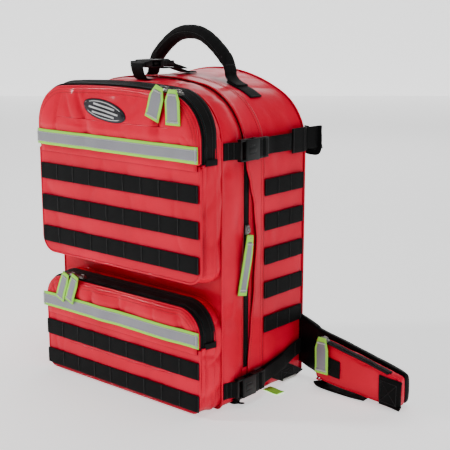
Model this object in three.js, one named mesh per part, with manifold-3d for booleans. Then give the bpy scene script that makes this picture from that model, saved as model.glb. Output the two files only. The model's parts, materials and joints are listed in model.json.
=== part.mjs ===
// A clamshell trauma backpack: a tub worn on the back, a front section that opens forward on a
// fabric hinge along the bottom, two zipped pockets with drop-down flaps, side-release buckles,
// a carry handle, shoulder straps and padded hip wings with pouches.
// Millimetres. X is the bag's width, +Y points to the wearer, +Z is up, and the origin is on the
// floor in the middle of the bag's depth.
import * as THREE from "three";
import { mergeVertices } from "three/addons/utils/BufferGeometryUtils.js";
import Module from "manifold-3d";

const wasm = await Module();
wasm.setup();

// Driving dimensions.
const GAP = 0.3; // running gap between touching pieces
const HALF_WIDTH = 171;
const BACK_Y = 121; // outside of the back panel
const ZIP_Y = -20; // plane of the main zip and of the clamshell hinge
const SEAM_Y = -75; // front panel that carries the pockets
const POCKET_Y = -118; // front rim of the pockets
const WALL = 2.2; // lined fabric
const FLAP_THICK = 5;
const WEB = 1.8; // webbing thickness
const WEB_WIDTH = 25;
const ZIP_LOW_Z = 45; // lower ends of the main zip
const TAPE_WIDTH = 6; // one side of the main zip
const UPPER_BOTTOM = 197; // upper pocket
const UPPER_HINGE_Z = 371;
const LOWER_TOP = 169; // lower pocket
const LOWER_HINGE_Z = 105;
const SIDE_BANDS = [335, 282, 229, 176, 122]; // tops of the side webbing
const UPPER_BANDS = [344, 293, 242];
const LOWER_BANDS = [85, 35];
const HANDLE = { y: 50, z: 487, reach: 82, rise: 62, grip: 11, leg: 5 };
const WING = { root: 174, mid: 215, end: 371, back: 124 };
const PULL = { length: 47, neck: 7, wide: 27, thick: 2 };
// Arched outlines: half width, top, radius of the crown and of the corners, bottom.
const FLAP_ARCH = { w: 170, top: 470, crown: 1500, corner: 62, low: 0, foot: 14 };
const RIM_ARCH = { w: 174, top: 477, crown: 1500, corner: 64, low: 0, foot: 14 };
const SEAM_ARCH = { w: 171, top: 476, crown: 900, corner: 76, low: 1, foot: 14 };
const ZIP_ARCH = { w: 171, top: 479, crown: 500, corner: 100, low: 0.6, foot: 14 };
const BACK_ARCH = { w: 171, top: 487, crown: 260, corner: 90, low: 0, foot: 14 };

const material = (color, roughness, metalness = 0) =>
  new THREE.MeshStandardMaterial({ color, roughness, metalness });
const RED = material(0xe8303a, 0.42);
const WEBBING = material(0x17191a, 0.8);
const PLASTIC = material(0x1d1f20, 0.45);
const TAPE = material(0x141516, 0.7);
const LIME = material(0xa6ee63, 0.6);
const METAL = material(0x6b6664, 0.35, 0.9);
const PADDING = material(0x202224, 0.95);
const STIFFENER = material(0xd8d8d2, 0.6);

const root = new THREE.Group();
const add = (name, geometry, look) => {
  const mesh = new THREE.Mesh(geometry, look);
  mesh.name = name;
  root.add(mesh);
};

// Solids.
const solid = (geometry) => {
  const bare = geometry.clone();
  bare.deleteAttribute("normal");
  bare.deleteAttribute("uv");
  const merged = mergeVertices(bare, 1e-4);
  return new wasm.Manifold(
    new wasm.Mesh({
      numProp: 3,
      vertProperties: new Float32Array(merged.attributes.position.array),
      triVerts: new Uint32Array(merged.index.array),
    }),
  );
};
const geometryOf = (body) => {
  const mesh = body.getMesh();
  return new THREE.BufferGeometry()
    .setAttribute("position", new THREE.BufferAttribute(mesh.vertProperties, 3))
    .setIndex(new THREE.BufferAttribute(mesh.triVerts, 1));
};
const cut = (a, ...rest) =>
  geometryOf(rest.reduce((body, b) => body.subtract(solid(b)), solid(a)));
const join = (a, ...rest) =>
  geometryOf(rest.reduce((body, b) => body.add(solid(b)), solid(a)));
const common = (a, b) => geometryOf(solid(a).intersect(solid(b)));
const mirrored = (geometry) => {
  const copy = (geometry.index ? geometry.toNonIndexed() : geometry.clone()).scale(-1, 1, 1);
  const at = copy.attributes.position;
  for (let i = 0; i < at.count; i += 3)
    for (const axis of ["X", "Y", "Z"]) {
      const second = at["get" + axis](i + 1);
      at["set" + axis](i + 1, at["get" + axis](i + 2));
      at["set" + axis](i + 2, second);
    }
  return copy;
};
const pair = (name, geometry, look) => {
  add(name + "_right", geometry, look);
  add(name + "_left", mirrored(geometry), look);
};
const box = ([x0, x1], [y0, y1], [z0, z1]) =>
  new THREE.BoxGeometry(x1 - x0, y1 - y0, z1 - z0).translate(
    (x0 + x1) / 2,
    (y0 + y1) / 2,
    (z0 + z1) / 2,
  );

// A closed body through rings of points that match one to one; each ring is flat and runs
// counter-clockwise seen from the first end.
const loft = (rings) => {
  const n = rings[0].length;
  const flat = (ring, keys) => ring.map((p) => new THREE.Vector2(...keys.map((k) => p[k])));
  const span = (k) => {
    const along = rings[0].map((p) => p[k]);
    return Math.max(...along) - Math.min(...along);
  };
  const thin = ["x", "y", "z"].reduce((a, b) => (span(a) < span(b) ? a : b));
  const keys = { x: ["y", "z"], y: ["x", "z"], z: ["x", "y"] }[thin];
  const cap = THREE.ShapeUtils.triangulateShape(flat(rings[0], keys), []);
  const faces = [];
  rings.slice(1).forEach((_, r) => {
    for (let i = 0; i < n; i++) {
      const [a, b] = [r * n + i, r * n + ((i + 1) % n)];
      faces.push([a, b, b + n], [a, b + n, a + n]);
    }
  });
  const last = (rings.length - 1) * n;
  cap.forEach(([a, b, c]) => faces.push([a, c, b], [a + last, b + last, c + last]));
  const made = new THREE.BufferGeometry().setAttribute(
    "position",
    new THREE.Float32BufferAttribute(rings.flat().flatMap((p) => [p.x, p.y, p.z]), 3),
  );
  made.setIndex(faces.flat());
  if (volume(made) < 0) made.setIndex(faces.flatMap(([a, b, c]) => [a, c, b]));
  return made;
};
const volume = (g) => {
  const [at, ix] = [g.attributes.position, g.index.array];
  const p = (i) => new THREE.Vector3().fromBufferAttribute(at, ix[i]);
  let sum = 0;
  for (let i = 0; i < ix.length; i += 3) sum += p(i).dot(p(i + 1).cross(p(i + 2)));
  return sum / 6;
};
const v3 = (x, y, z) => new THREE.Vector3(x, y, z);

// Points of an arc, from one angle to another in degrees, 0 along +X and 90 along +Z.
const arc = (cx, cz, r, from, to, steps) =>
  Array.from({ length: steps + 1 }, (_, i) => {
    const a = THREE.MathUtils.degToRad(from + ((to - from) * i) / steps);
    return [cx + r * Math.cos(a), cz + r * Math.sin(a)];
  });

// Centre and start angle of an arch's corner, where it meets the crown.
const cornerOf = ({ w, top, crown, corner }) => {
  const x = w - corner;
  const z = top - crown + Math.sqrt((crown - corner) ** 2 - x ** 2);
  return { x, z, start: THREE.MathUtils.radToDeg(Math.acos(x / (crown - corner))) };
};

// The arched outline in the XZ plane, grown outwards by `out`.
const archOutline = (shape, out = 0) => {
  const s = { ...shape, w: shape.w + out, top: shape.top + out, low: shape.low - out };
  s.crown += out;
  s.corner += out;
  const c = cornerOf(s);
  const right = [
    ...arc(s.w - s.foot, s.low + s.foot, s.foot, -90, 0, 3),
    ...arc(c.x, c.z, s.corner, 0, c.start, 6),
    ...arc(0, s.top - s.crown, s.crown, c.start, 90, 3).slice(1),
  ];
  const left = right.slice(0, -1).map(([x, z]) => [-x, z]).reverse();
  return [...right, ...left];
};
const archRing = (shape, y, out = 0) => archOutline(shape, out).map(([x, z]) => v3(x, y, z));

// A rounded rectangle in the XZ plane.
const roundRing = ([x0, x1], [z0, z1], topR, footR, y) =>
  [
    ...arc(x1 - footR, z0 + footR, footR, -90, 0, 3),
    ...arc(x1 - topR, z1 - topR, topR, 0, 90, 4),
    ...arc(x0 + topR, z1 - topR, topR, 90, 180, 4),
    ...arc(x0 + footR, z0 + footR, footR, 180, 270, 3),
  ].map(([x, z]) => v3(x, y, z));

const FAR = 1000;
const above = (z, [y0, y1] = [-FAR, FAR]) => box([-FAR, FAR], [y0, y1], [z, FAR]);
const below = (z) => box([-FAR, FAR], [-FAR, FAR], [-FAR, z]);

// Main compartment: the tub behind the zip and the front section before it.
const zipFront = ZIP_Y - GAP;
const zipRear = ZIP_Y + GAP;
const notch = (y0, y1) => above(ZIP_LOW_Z, [y0, y1]);

function rearShell() {
  const outer = loft([archRing(ZIP_ARCH, zipRear), archRing(BACK_ARCH, BACK_Y)]);
  const inner = loft([
    archRing(ZIP_ARCH, zipRear - 1, -WALL),
    archRing(BACK_ARCH, BACK_Y - WALL, -WALL),
  ]);
  add("rear_shell", cut(outer, inner, notch(zipRear - 1, zipRear + TAPE_WIDTH)), RED);
}

function frontShell() {
  const outer = loft([archRing(SEAM_ARCH, SEAM_Y), archRing(ZIP_ARCH, zipFront)]);
  const inner = loft([
    archRing(SEAM_ARCH, SEAM_Y + WALL, -WALL),
    archRing(ZIP_ARCH, zipFront + 1, -WALL),
  ]);
  add("front_shell", cut(outer, inner, notch(zipFront - TAPE_WIDTH, zipFront + 1)), RED);
}

// One side of the zip: an arched band, a little inside the fabric's face.
function mainZip(name, y0, y1) {
  const recess = -0.6;
  const outer = loft([archRing(ZIP_ARCH, y0, recess), archRing(ZIP_ARCH, y1, recess)]);
  const inner = loft([
    archRing(ZIP_ARCH, y0 - 1, recess - WALL),
    archRing(ZIP_ARCH, y1 + 1, recess - WALL),
  ]);
  add(name, cut(outer, inner, below(ZIP_LOW_Z + GAP)), TAPE);
}

// The rain flap is sewn to the tub and lies over the zip.
function stormFlap() {
  const [y0, y1] = [ZIP_Y - 6, ZIP_Y + 38];
  const rise = { ...BACK_ARCH };
  const t = (y1 - ZIP_Y) / (BACK_Y - ZIP_Y);
  for (const k of ["w", "top", "crown", "corner"])
    rise[k] = ZIP_ARCH[k] + (BACK_ARCH[k] - ZIP_ARCH[k]) * t;
  const outer = loft([archRing(ZIP_ARCH, y0, 2), archRing(rise, y1, 2)]);
  const inner = loft([archRing(ZIP_ARCH, y0 - 1, 0.5), archRing(rise, y1 + 1, 0.5)]);
  // On the sides its free edge stands back from the sliders' path.
  const slit = (x0, x1) => box([x0, x1], [y0 - 1, ZIP_Y + 17], [ZIP_LOW_Z + 12, 362]);
  const slits = [slit(100, 200), slit(-200, -100)];
  add("storm_flap", cut(outer, inner, below(ZIP_LOW_Z), ...slits), RED);
}

// Inside the tub, a stiffener against the back panel and an organiser panel with its loops.
function insides() {
  const sheet = roundRing([-150, 150], [12, 440], 60, 12, BACK_Y - WALL - 4);
  const face = sheet.map((p) => v3(p.x, BACK_Y - WALL - 1, p.z));
  add("frame_sheet", loft([sheet, face]), STIFFENER);
  const y1 = BACK_Y - WALL - 5;
  const panel = box([-140, 140], [y1 - 3, y1], [20, 400]);
  const row = (z, tall, deep) => box([-134, 134], [y1 - 3 - deep, y1 - 2], [z, z + tall]);
  add("organizer_panel", join(panel, row(36, 120, 10), row(200, 40, 6), row(300, 40, 6)), PADDING);
}

function backPanel() {
  const plate = (name, [x0, x1], [z0, z1], radius, thick) => {
    const at = (y, inset) =>
      roundRing([x0 + inset, x1 - inset], [z0 + inset, z1 - inset], radius, radius, y);
    const y = BACK_Y + GAP;
    add(name, loft([at(y, 0), at(y + thick * 0.6, 0), at(y + thick, 8)]), PADDING);
  };
  plate("back_pad", [-122, 122], [140, 440], 45, 13);
  plate("lumbar_pad", [-122, 122], [22, 128], 30, 18);
}

// Pockets: a gusset round a space, closed in front below the flap's hinge.
function pocket(name, rings, inner, hinge) {
  const open = box([-FAR, FAR], [POCKET_Y - 10, POCKET_Y + 10], [hinge, FAR]);
  const before = (p) => (p.y > POCKET_Y + WALL ? p : v3(p.x, POCKET_Y - 12, p.z));
  const mouth = common(open, loft(inner.map((ring) => ring.map(before))));
  add(name, cut(loft(rings), loft(inner), mouth), RED);
}

function pockets() {
  const back = SEAM_Y - GAP;
  const mid = POCKET_Y + 28;
  const upper = (y, shape, out) => {
    const s = { ...shape, low: UPPER_BOTTOM + (shape === FLAP_ARCH ? 4 : 0), foot: 24 };
    return archRing(s, y, out);
  };
  pocket(
    "upper_pocket",
    [upper(POCKET_Y, FLAP_ARCH, 0), upper(mid, RIM_ARCH, 0), upper(back, SEAM_ARCH, 0)],
    [
      upper(POCKET_Y + WALL, FLAP_ARCH, -WALL),
      upper(mid, RIM_ARCH, -WALL),
      upper(back + 1, SEAM_ARCH, -WALL),
    ],
    UPPER_HINGE_Z,
  );
  const lower = (y, inset, out) =>
    roundRing(
      [-HALF_WIDTH + inset - out, HALF_WIDTH - inset + out],
      [1 + inset - out, LOWER_TOP - 1.6 * inset + out],
      48 - 2 * inset + out,
      20 + out,
      y,
    );
  pocket(
    "lower_pocket",
    [lower(POCKET_Y, 5, 0), lower(mid, 0, 0), lower(back, 0, 0)],
    [
      lower(POCKET_Y + WALL, 5, -WALL),
      lower(mid, 0, -WALL),
      lower(back + 1, 0, -WALL),
    ],
    LOWER_HINGE_Z,
  );
}

// Webbing rows on a thin backing, so that one ladder is one piece.
const rows = (along, tops, low, high) =>
  tops.reduce(
    (body, top) => join(body, along(top - WEB_WIDTH, top, WEB + 0.6)),
    along(low, high, 0.6),
  );
function ladders() {
  const front = (z0, z1, proud) => {
    const face = POCKET_Y - GAP;
    return box([-166, 166], [face - proud, face], [z0, z1]);
  };
  add("upper_molle", rows(front, UPPER_BANDS, 217, 344), WEBBING);
  add("lower_molle", rows(front, LOWER_BANDS, 10, 85), WEBBING);
  const side = (z0, z1, proud) =>
    box([HALF_WIDTH + GAP, HALF_WIDTH + GAP + proud], [ZIP_Y + 41, BACK_Y], [z0, z1]);
  pair("side_molle", rows(side, SIDE_BANDS, 97, 335), WEBBING);
}

// Drop-down flaps that close the pockets, and their reflective bands.
const flapBack = POCKET_Y - 0.5;
const flapFront = flapBack - FLAP_THICK;
function flaps() {
  const plate = (ring, hinge) =>
    common(loft([ring(flapBack, 0), ring(flapFront, -4)]), above(hinge + 0.5));
  add("upper_flap", plate((y, out) => archRing(FLAP_ARCH, y, out), UPPER_HINGE_Z), RED);
  const low = (y, out) => roundRing([-166 - out, 166 + out], [6, 161 + out], 38 + out, 15, y);
  add("lower_flap", plate(low, LOWER_HINGE_Z), RED);
  const face = flapFront - GAP;
  const band = (z) => box([-168, 168], [face - 1.4, face], [z + 3.2, z + 27]);
  add("upper_band", band(UPPER_HINGE_Z), LIME);
  add("lower_band", band(LOWER_HINGE_Z), LIME);
}

// A zip slider, drawn with the zip along X, its face up and its front edge at y = 0: a wedge
// with a bridge for the pull.
const SLIDER = { half: 7, deep: 9, thick: 3, bridge: 6 };
// A pull turns on a line just before and above its slider's bridge.
const HINGE = { ahead: 1, up: SLIDER.bridge + 0.3 };
function sliderBody() {
  const { half, deep, thick, bridge } = SLIDER;
  const plan = new THREE.Shape();
  plan.moveTo(-half, 0).lineTo(half, 0).lineTo(half, deep * 0.6);
  plan.lineTo(half * 0.4, deep).lineTo(-half * 0.4, deep).lineTo(-half, deep * 0.6);
  const wedge = new THREE.ExtrudeGeometry(plan, { depth: thick, bevelEnabled: false });
  return join(wedge, box([-2.5, 2.5], [1, deep * 0.6], [thick - 0.5, bridge]));
}

// A webbing pull, hung from the origin: a neck runs forward over the edge, and the tab hangs
// before it, leaning sideways by `lean` degrees.
function pullBody(reach, length = PULL.length, wide = PULL.wide, lean = 0) {
  const { neck, thick } = PULL;
  const tab = new THREE.Shape();
  tab.moveTo(-neck, 1).lineTo(neck, 1).lineTo(wide / 2, -length * 0.32);
  tab.lineTo(wide / 2, -length).lineTo(-wide / 2, -length).lineTo(-wide / 2, -length * 0.32);
  const sheet = new THREE.ExtrudeGeometry(tab, { depth: thick, bevelEnabled: false });
  sheet.rotateX(Math.PI / 2).rotateY(THREE.MathUtils.degToRad(lean)).translate(0, -reach, 0);
  return join(sheet, box([-2, 2], [-reach - thick / 2, -GAP], [-1, 1]));
}

// Sliders of the pockets run on the arch of the gusset; those of the main zip run up the sides.
const SLIDER_Y = POCKET_Y + 2;
const PULL_REACH = 9;
function pocketZips() {
  const place = (name, onZip, pull) => {
    add(name + "_slider", onZip(sliderBody()), METAL);
    add(name + "_pull", pull, LIME);
  };
  const corner = cornerOf(FLAP_ARCH);
  const crownZ = FLAP_ARCH.top - FLAP_ARCH.crown;
  const ride = 3.6;
  const spots = [
    { side: "left", x: 0, z: crownZ, r: FLAP_ARCH.crown + ride, turn: 3.85, lean: 19 },
    { side: "right", x: corner.x, z: corner.z, r: FLAP_ARCH.corner + ride, turn: 15, lean: 0 },
  ];
  for (const { side, x, z, r, turn, lean } of spots) {
    const a = THREE.MathUtils.degToRad(turn);
    const onArc = (g) => g.translate(0, 0, r).rotateY(a).translate(x, SLIDER_Y, z);
    const reach = r + HINGE.up;
    const at = [x + reach * Math.sin(a), SLIDER_Y - HINGE.ahead, z + reach * Math.cos(a)];
    const pull = pullBody(PULL_REACH, PULL.length, PULL.wide, lean);
    place("upper_" + side, onArc, pull.translate(...at));
  }
  const lowZ = LOWER_TOP - 4;
  for (const { side, x, lean } of [
    { side: "left", x: -110, lean: 21 },
    { side: "right", x: -88, lean: 21 },
  ]) {
    const pull = pullBody(PULL_REACH, PULL.length, PULL.wide - 8, lean);
    const onTop = (g) => g.translate(x, SLIDER_Y, lowZ);
    place("lower_" + side, onTop, pull.translate(x, SLIDER_Y - HINGE.ahead, lowZ + HINGE.up));
  }
}

const MAIN_SLIDER_Z = 266;
const MAIN_PULL = { length: 88, wide: 19, lean: 12, reach: 1.5, below: 8 };
function mainSliders() {
  const face = HALF_WIDTH + 0.4;
  const slider = sliderBody().translate(0, -SLIDER.deep / 2, 0);
  // The zip's line is turned from X to Z and the slider's face to +X.
  slider.rotateY(Math.PI / 2).translate(face, ZIP_Y + 0.5, MAIN_SLIDER_Z);
  pair("main_slider", slider, METAL);
  const { length, wide, lean, reach, below: drop } = MAIN_PULL;
  const hinge = [face + SLIDER.thick + 1.5, ZIP_Y, MAIN_SLIDER_Z - drop];
  const pull = pullBody(reach, length, wide, lean).rotateZ(Math.PI / 2).translate(...hinge);
  pair("main_pull", pull, LIME);
}

// Side-release buckles, drawn with the strap along Y, the mouth at y = 0 and the base at z = 0.
const BUCKLE = { half: 16, long: 40, thick: 11.5, deep: 26, travel: 25 };
function socketBody() {
  const { half, long, thick, deep } = BUCKLE;
  const body = box([-half, half], [-long, 0], [0, thick]);
  return cut(body, box([3 - half, half - 3], [-deep, 1], [2.2, thick - 2.2]));
}
function plugBody() {
  const { half, thick } = BUCKLE;
  const body = box([1 - half, half - 1], [0.4, 24], [0.6, thick - 1]);
  const window = box([3.5 - half, half - 3.5], [12, 18], [-1, thick + 1]);
  const arm = (x) => box([x - 1.5, x + 1.5], [-13, 1], [4, thick - 4]);
  return join(cut(body, window), arm(-6.5), arm(6.5), box([-6.5, 6.5], [-1.4, 1], [4, thick - 4]));
}
// Webbing lies under a buckle: its top is this far below the base.
const UNDER = 0.5;
const under = ([y0, y1]) =>
  box([-WEB_WIDTH / 2, WEB_WIDTH / 2], [y0, y1], [-UNDER - WEB, -UNDER]);
const toSide = (g, mouth, z) => g.rotateY(Math.PI / 2).translate(HALF_WIDTH + 4.6, mouth, z);

// A flat piece in the YZ plane beside the bag.
function sidePatch(outline, from, thick) {
  const shape = new THREE.Shape(outline.map(([y, z]) => new THREE.Vector2(y, z)));
  const made = new THREE.ExtrudeGeometry(shape, { depth: thick, bevelEnabled: false });
  return made.rotateY(Math.PI / 2).rotateX(Math.PI / 2).translate(from, 0, 0);
}

const UPPER_MOUTH = { y: -9, z: 386 };
const LOWER_MOUTH = { y: -14, z: 29 };
const TOP_MOUTH = { y: -28, z: 496 };
function buckles() {
  const withStub = (from) => {
    const stub = box([-WEB_WIDTH / 2, WEB_WIDTH / 2], [from, 2 - BUCKLE.long], [-UNDER - WEB, 1]);
    return join(socketBody(), stub);
  };
  const { y: uy, z: uz } = UPPER_MOUTH;
  const { y: ly, z: lz } = LOWER_MOUTH;
  pair("upper_socket", toSide(withStub(SEAM_Y - uy), uy, uz), PLASTIC);
  pair("upper_plug", toSide(plugBody(), uy, uz), PLASTIC);
  pair("lower_socket", toSide(withStub(SEAM_Y - ly), ly, lz), PLASTIC);
  pair("lower_plug", toSide(plugBody(), ly, lz), PLASTIC);
  const riser = box([-12.5, 12.5], [-34, -28], [477.3 - TOP_MOUTH.z, 1]);
  const onTop = (g) => g.translate(0, TOP_MOUTH.y, TOP_MOUTH.z);
  add("top_socket", onTop(join(socketBody(), riser)), PLASTIC);
  add("top_plug", onTop(plugBody()), PLASTIC);
}

function straps() {
  // Upper side straps end in a sewn patch with the spare webbing rolled behind it.
  const { y: uy, z: uz } = UPPER_MOUTH;
  const strap = toSide(under([6, BACK_Y - uy]), uy, uz);
  const patch = box([HALF_WIDTH + 1, HALF_WIDTH + 4], [BACK_Y - 34, BACK_Y + 6], [366, 404]);
  const hook = box([HALF_WIDTH - 12, HALF_WIDTH + 4], [BACK_Y + 1, BACK_Y + 6], [366, 404]);
  const sections = [
    { y: 5, tall: 19, half: 5, z: 384 },
    { y: 20, tall: 20, half: 9, z: 382 },
    { y: 38, tall: 17, half: 9, z: 380 },
    { y: 48, tall: 13, half: 5, z: 378 },
  ];
  const roll = loft(
    sections.map(({ y, tall, half, z }) => {
      const corners = [[-half, -tall], [half, -tall], [half, tall], [-half, tall]];
      return corners.map(([dx, dz]) => v3(HALF_WIDTH - 6 + dx, BACK_Y + y, z + dz));
    }),
  );
  pair("upper_strap", join(strap, patch, hook, roll), WEBBING);
  // Lower side straps rise to the back edge, where they turn into the shoulder webbing.
  const low = [[LOWER_MOUTH.y + 6, 16.5], [88, 33], [BACK_Y - 6, 30], [BACK_Y - 6, 70], [88, 60]];
  low.push([LOWER_MOUTH.y + 6, 41.5]);
  pair("lower_strap", sidePatch(low, HALF_WIDTH + 2.3, WEB), WEBBING);
  const tab = [[43, 17], [72, 2], [100, 1.5], [BACK_Y + 6, 8], [79, 33]];
  pair("shoulder_anchor", sidePatch(tab, HALF_WIDTH + GAP, 1.7), WEBBING);
  // The top strap runs back from its buckle and is sewn down before the handle.
  const line = [[-22, 493.7], [12, 493.7], [38, 484.5], [38, 486.5], [12, 495.5], [-22, 495.5]];
  add("top_strap", sidePatch(line, -WEB_WIDTH / 2, WEB_WIDTH), WEBBING);
}

// The carry handle: webbing legs that widen into a padded grip, along an arched path.
function handle() {
  const { y, z, reach, rise, grip, leg } = HANDLE;
  const path = [[1, 0.07, 0], [0.86, 0.3, 0], [0.68, 0.62, 0.4], [0.5, 0.86, 1], [0.25, 0.94, 1]];
  const side = (sign) => path.map(([x, up, full]) => ({ x: sign * x * reach, up, full }));
  const spine = [...side(-1), { x: 0, up: 0.96, full: 1 }, ...side(1).reverse()];
  const centre = spine.map(({ x, up }) => new THREE.Vector2(x, z + up * rise));
  const rings = spine.map(({ full }, i) => {
    const next = centre[Math.min(i + 1, centre.length - 1)];
    const before = centre[Math.max(i - 1, 0)];
    const along = next.clone().sub(before).normalize();
    const thick = THREE.MathUtils.lerp(leg / 2, grip, full);
    const half = THREE.MathUtils.lerp(WEB_WIDTH / 2 + 2, grip, full);
    return Array.from({ length: 8 }, (_, k) => {
      const a = ((k + 0.5) * Math.PI) / 4;
      const off = thick * Math.sin(a) * 1.08;
      const across = half * Math.cos(a) * 1.08;
      return v3(centre[i].x - along.y * off, y + across, centre[i].y + along.x * off);
    });
  });
  add("carry_handle", loft(rings), WEBBING);
}

// Padded shoulder straps hang from the top of the back panel and bow away from it.
function shoulderStraps() {
  const [thick, root] = [14, BACK_Y + 15];
  const line = [[root, 432], [root + 14, 380], [root + 26, 320], [root + 22, 250], [root + 8, 180]];
  const back = line.map(([y, z]) => [y + thick, z]).reverse();
  pair("shoulder_strap", sidePatch([...line, ...back], 46, 62), PADDING);
}

// Hip wings: a pad that leaves the back edge, with a zipped pouch on its outer face.
const WING_PULL = { length: 56, wide: 24, reach: 5 };
function wings() {
  const { root: x0, mid, end, back } = WING;
  const ring = (x, [y0, y1], [z0, z1]) =>
    [[y0, z0], [y1, z0], [y1, z1], [y0, z1]].map(([y, z]) => v3(x, y, z));
  const pad = loft([
    ring(x0, [back - 7, back], [22, 104]),
    ring(mid, [back - 12, back], [12, 88]),
    ring(end, [back - 12, back], [2, 52]),
  ]);
  pair("wing_pad", pad, PADDING);
  const face = back - 12 - GAP;
  const pouch = loft([
    ring(mid + 5, [face - 16, face], [15, 79]),
    ring(mid + 20, [face - 22, face], [13, 77]),
    ring(end - 18, [face - 20, face], [3, 53]),
    ring(end, [face - 14, face], [4, 48]),
  ]);
  pair("wing_pouch", pouch, RED);
  // Its slider starts at the root end of the zip on the pouch's top edge.
  const slope = Math.atan2(24, end - mid - 38);
  const start = [mid + 20, face - 19, 79];
  const slider = sliderBody().rotateY(slope).translate(...start);
  pair("wing_slider", slider, METAL);
  const { length, wide, reach } = WING_PULL;
  const at = [start[0] + 1.5, start[1] - HINGE.ahead, start[2] + HINGE.up];
  pair("wing_pull", pullBody(reach, length, wide).translate(...at), LIME);
}

rearShell();
frontShell();
mainZip("main_zip_rear", zipRear, zipRear + TAPE_WIDTH - GAP);
mainZip("main_zip_front", zipFront - TAPE_WIDTH + GAP, zipFront);
stormFlap();
insides();
backPanel();
pockets();
ladders();
flaps();
pocketZips();
mainSliders();
buckles();
straps();
handle();
shoulderStraps();
wings();

export default root;
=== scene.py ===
"""Looks for the trauma backpack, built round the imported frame. Metres, +Z up, the wearer on the +Y side."""
import json
import math

import bmesh
import bpy
from mathutils import Matrix, Vector, noise
from mathutils.bvhtree import BVHTree


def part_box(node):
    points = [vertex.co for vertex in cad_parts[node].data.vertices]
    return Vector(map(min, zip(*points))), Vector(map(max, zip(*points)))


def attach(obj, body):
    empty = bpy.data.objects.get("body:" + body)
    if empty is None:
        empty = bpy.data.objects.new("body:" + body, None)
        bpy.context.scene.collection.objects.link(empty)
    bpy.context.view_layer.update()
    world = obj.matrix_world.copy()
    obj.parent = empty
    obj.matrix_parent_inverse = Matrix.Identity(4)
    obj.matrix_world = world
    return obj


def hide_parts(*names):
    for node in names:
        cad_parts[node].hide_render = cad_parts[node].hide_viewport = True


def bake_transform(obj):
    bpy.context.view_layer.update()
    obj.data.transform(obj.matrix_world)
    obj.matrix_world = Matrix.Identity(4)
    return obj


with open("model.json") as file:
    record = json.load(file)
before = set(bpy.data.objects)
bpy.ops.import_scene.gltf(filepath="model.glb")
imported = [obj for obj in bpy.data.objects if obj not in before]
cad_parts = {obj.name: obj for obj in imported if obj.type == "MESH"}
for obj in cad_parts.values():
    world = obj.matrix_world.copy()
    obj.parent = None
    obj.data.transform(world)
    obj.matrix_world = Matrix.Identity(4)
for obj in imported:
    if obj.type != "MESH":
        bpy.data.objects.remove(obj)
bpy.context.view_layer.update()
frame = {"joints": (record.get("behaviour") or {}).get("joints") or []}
JOINTS = {j["name"]: j for j in frame["joints"]}
MM = 0.001
SIDES = ((1, "right"), (-1, "left"))  # the wearer's right is +X
DROP_Y = -127  # a plane in front of the lids, from which points are dropped onto them, millimetres

# The photograph's camera.
CAMERA_AT = (1.0654, -1.1189, 0.5887)
AZIMUTH, TILT = 40.41, 12.57  # degrees round towards +X, and degrees down
LENS, SENSOR = 79.3, 36  # millimetres

# ---------------------------------------------------------------- places, read from the frame
REAR_LOW, REAR_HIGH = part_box("rear_shell")
FRONT_LOW, FRONT_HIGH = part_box("front_shell")
HALF = REAR_HIGH.x
BACK_Y = REAR_HIGH.y
ZIP_Y = (REAR_LOW.y + FRONT_HIGH.y) / 2
SEAM_Y = FRONT_LOW.y
POCKET_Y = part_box("upper_pocket")[0].y
UPPER_HINGE = JOINTS["upper_flap_drops"]["pos_m"][2]
LOWER_HINGE = JOINTS["lower_flap_drops"]["pos_m"][2]
ZIP_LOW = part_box("main_zip_rear")[0].z


# ---------------------------------------------------------------- camera, light and floor
def new_object(name, data):
    """An object in the scene that holds a mesh, a lamp or a camera."""
    obj = bpy.data.objects.new(name, data)
    bpy.context.scene.collection.objects.link(obj)
    return obj


def camera():
    """The photograph's view: 40 degrees round towards +X, a little above."""
    cam = new_object("camera", bpy.data.cameras.new("camera"))
    cam.data.sensor_width, cam.data.lens = SENSOR, LENS
    cam.location = CAMERA_AT
    cam.rotation_euler = (math.radians(90 - TILT), 0, math.radians(AZIMUTH))
    bpy.context.scene.camera = cam


def area_light(name, place, aim, size, power):
    lamp = bpy.data.lights.new(name, "AREA")
    lamp.shape, lamp.size, lamp.energy = "DISK", size, power
    lamp_object = new_object(name, lamp)
    lamp_object.location = place
    lamp_object.rotation_euler = (Vector(aim) - Vector(place)).to_track_quat("-Z", "Y").to_euler()


def stage_piece(name, corners, glow):
    """A pale matt sheet that isn't part of the bag."""
    mesh = bpy.data.meshes.new(name)
    mesh.from_pydata(corners, [], [(0, 1, 2, 3)])
    sheet = new_object(name, mesh)
    paper = bpy.data.materials.new(f"{name}_paper")
    paper.use_nodes = True
    shader = paper.node_tree.nodes["Principled BSDF"]
    shader.inputs["Base Color"].default_value = (0.97, 0.97, 0.97, 1)
    shader.inputs["Roughness"].default_value = 0.95
    shader.inputs["Specular IOR Level"].default_value = 0.0
    shader.inputs["Emission Color"].default_value = (1, 1, 1, 1)
    shader.inputs["Emission Strength"].default_value = glow
    mesh.materials.append(paper)


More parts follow.
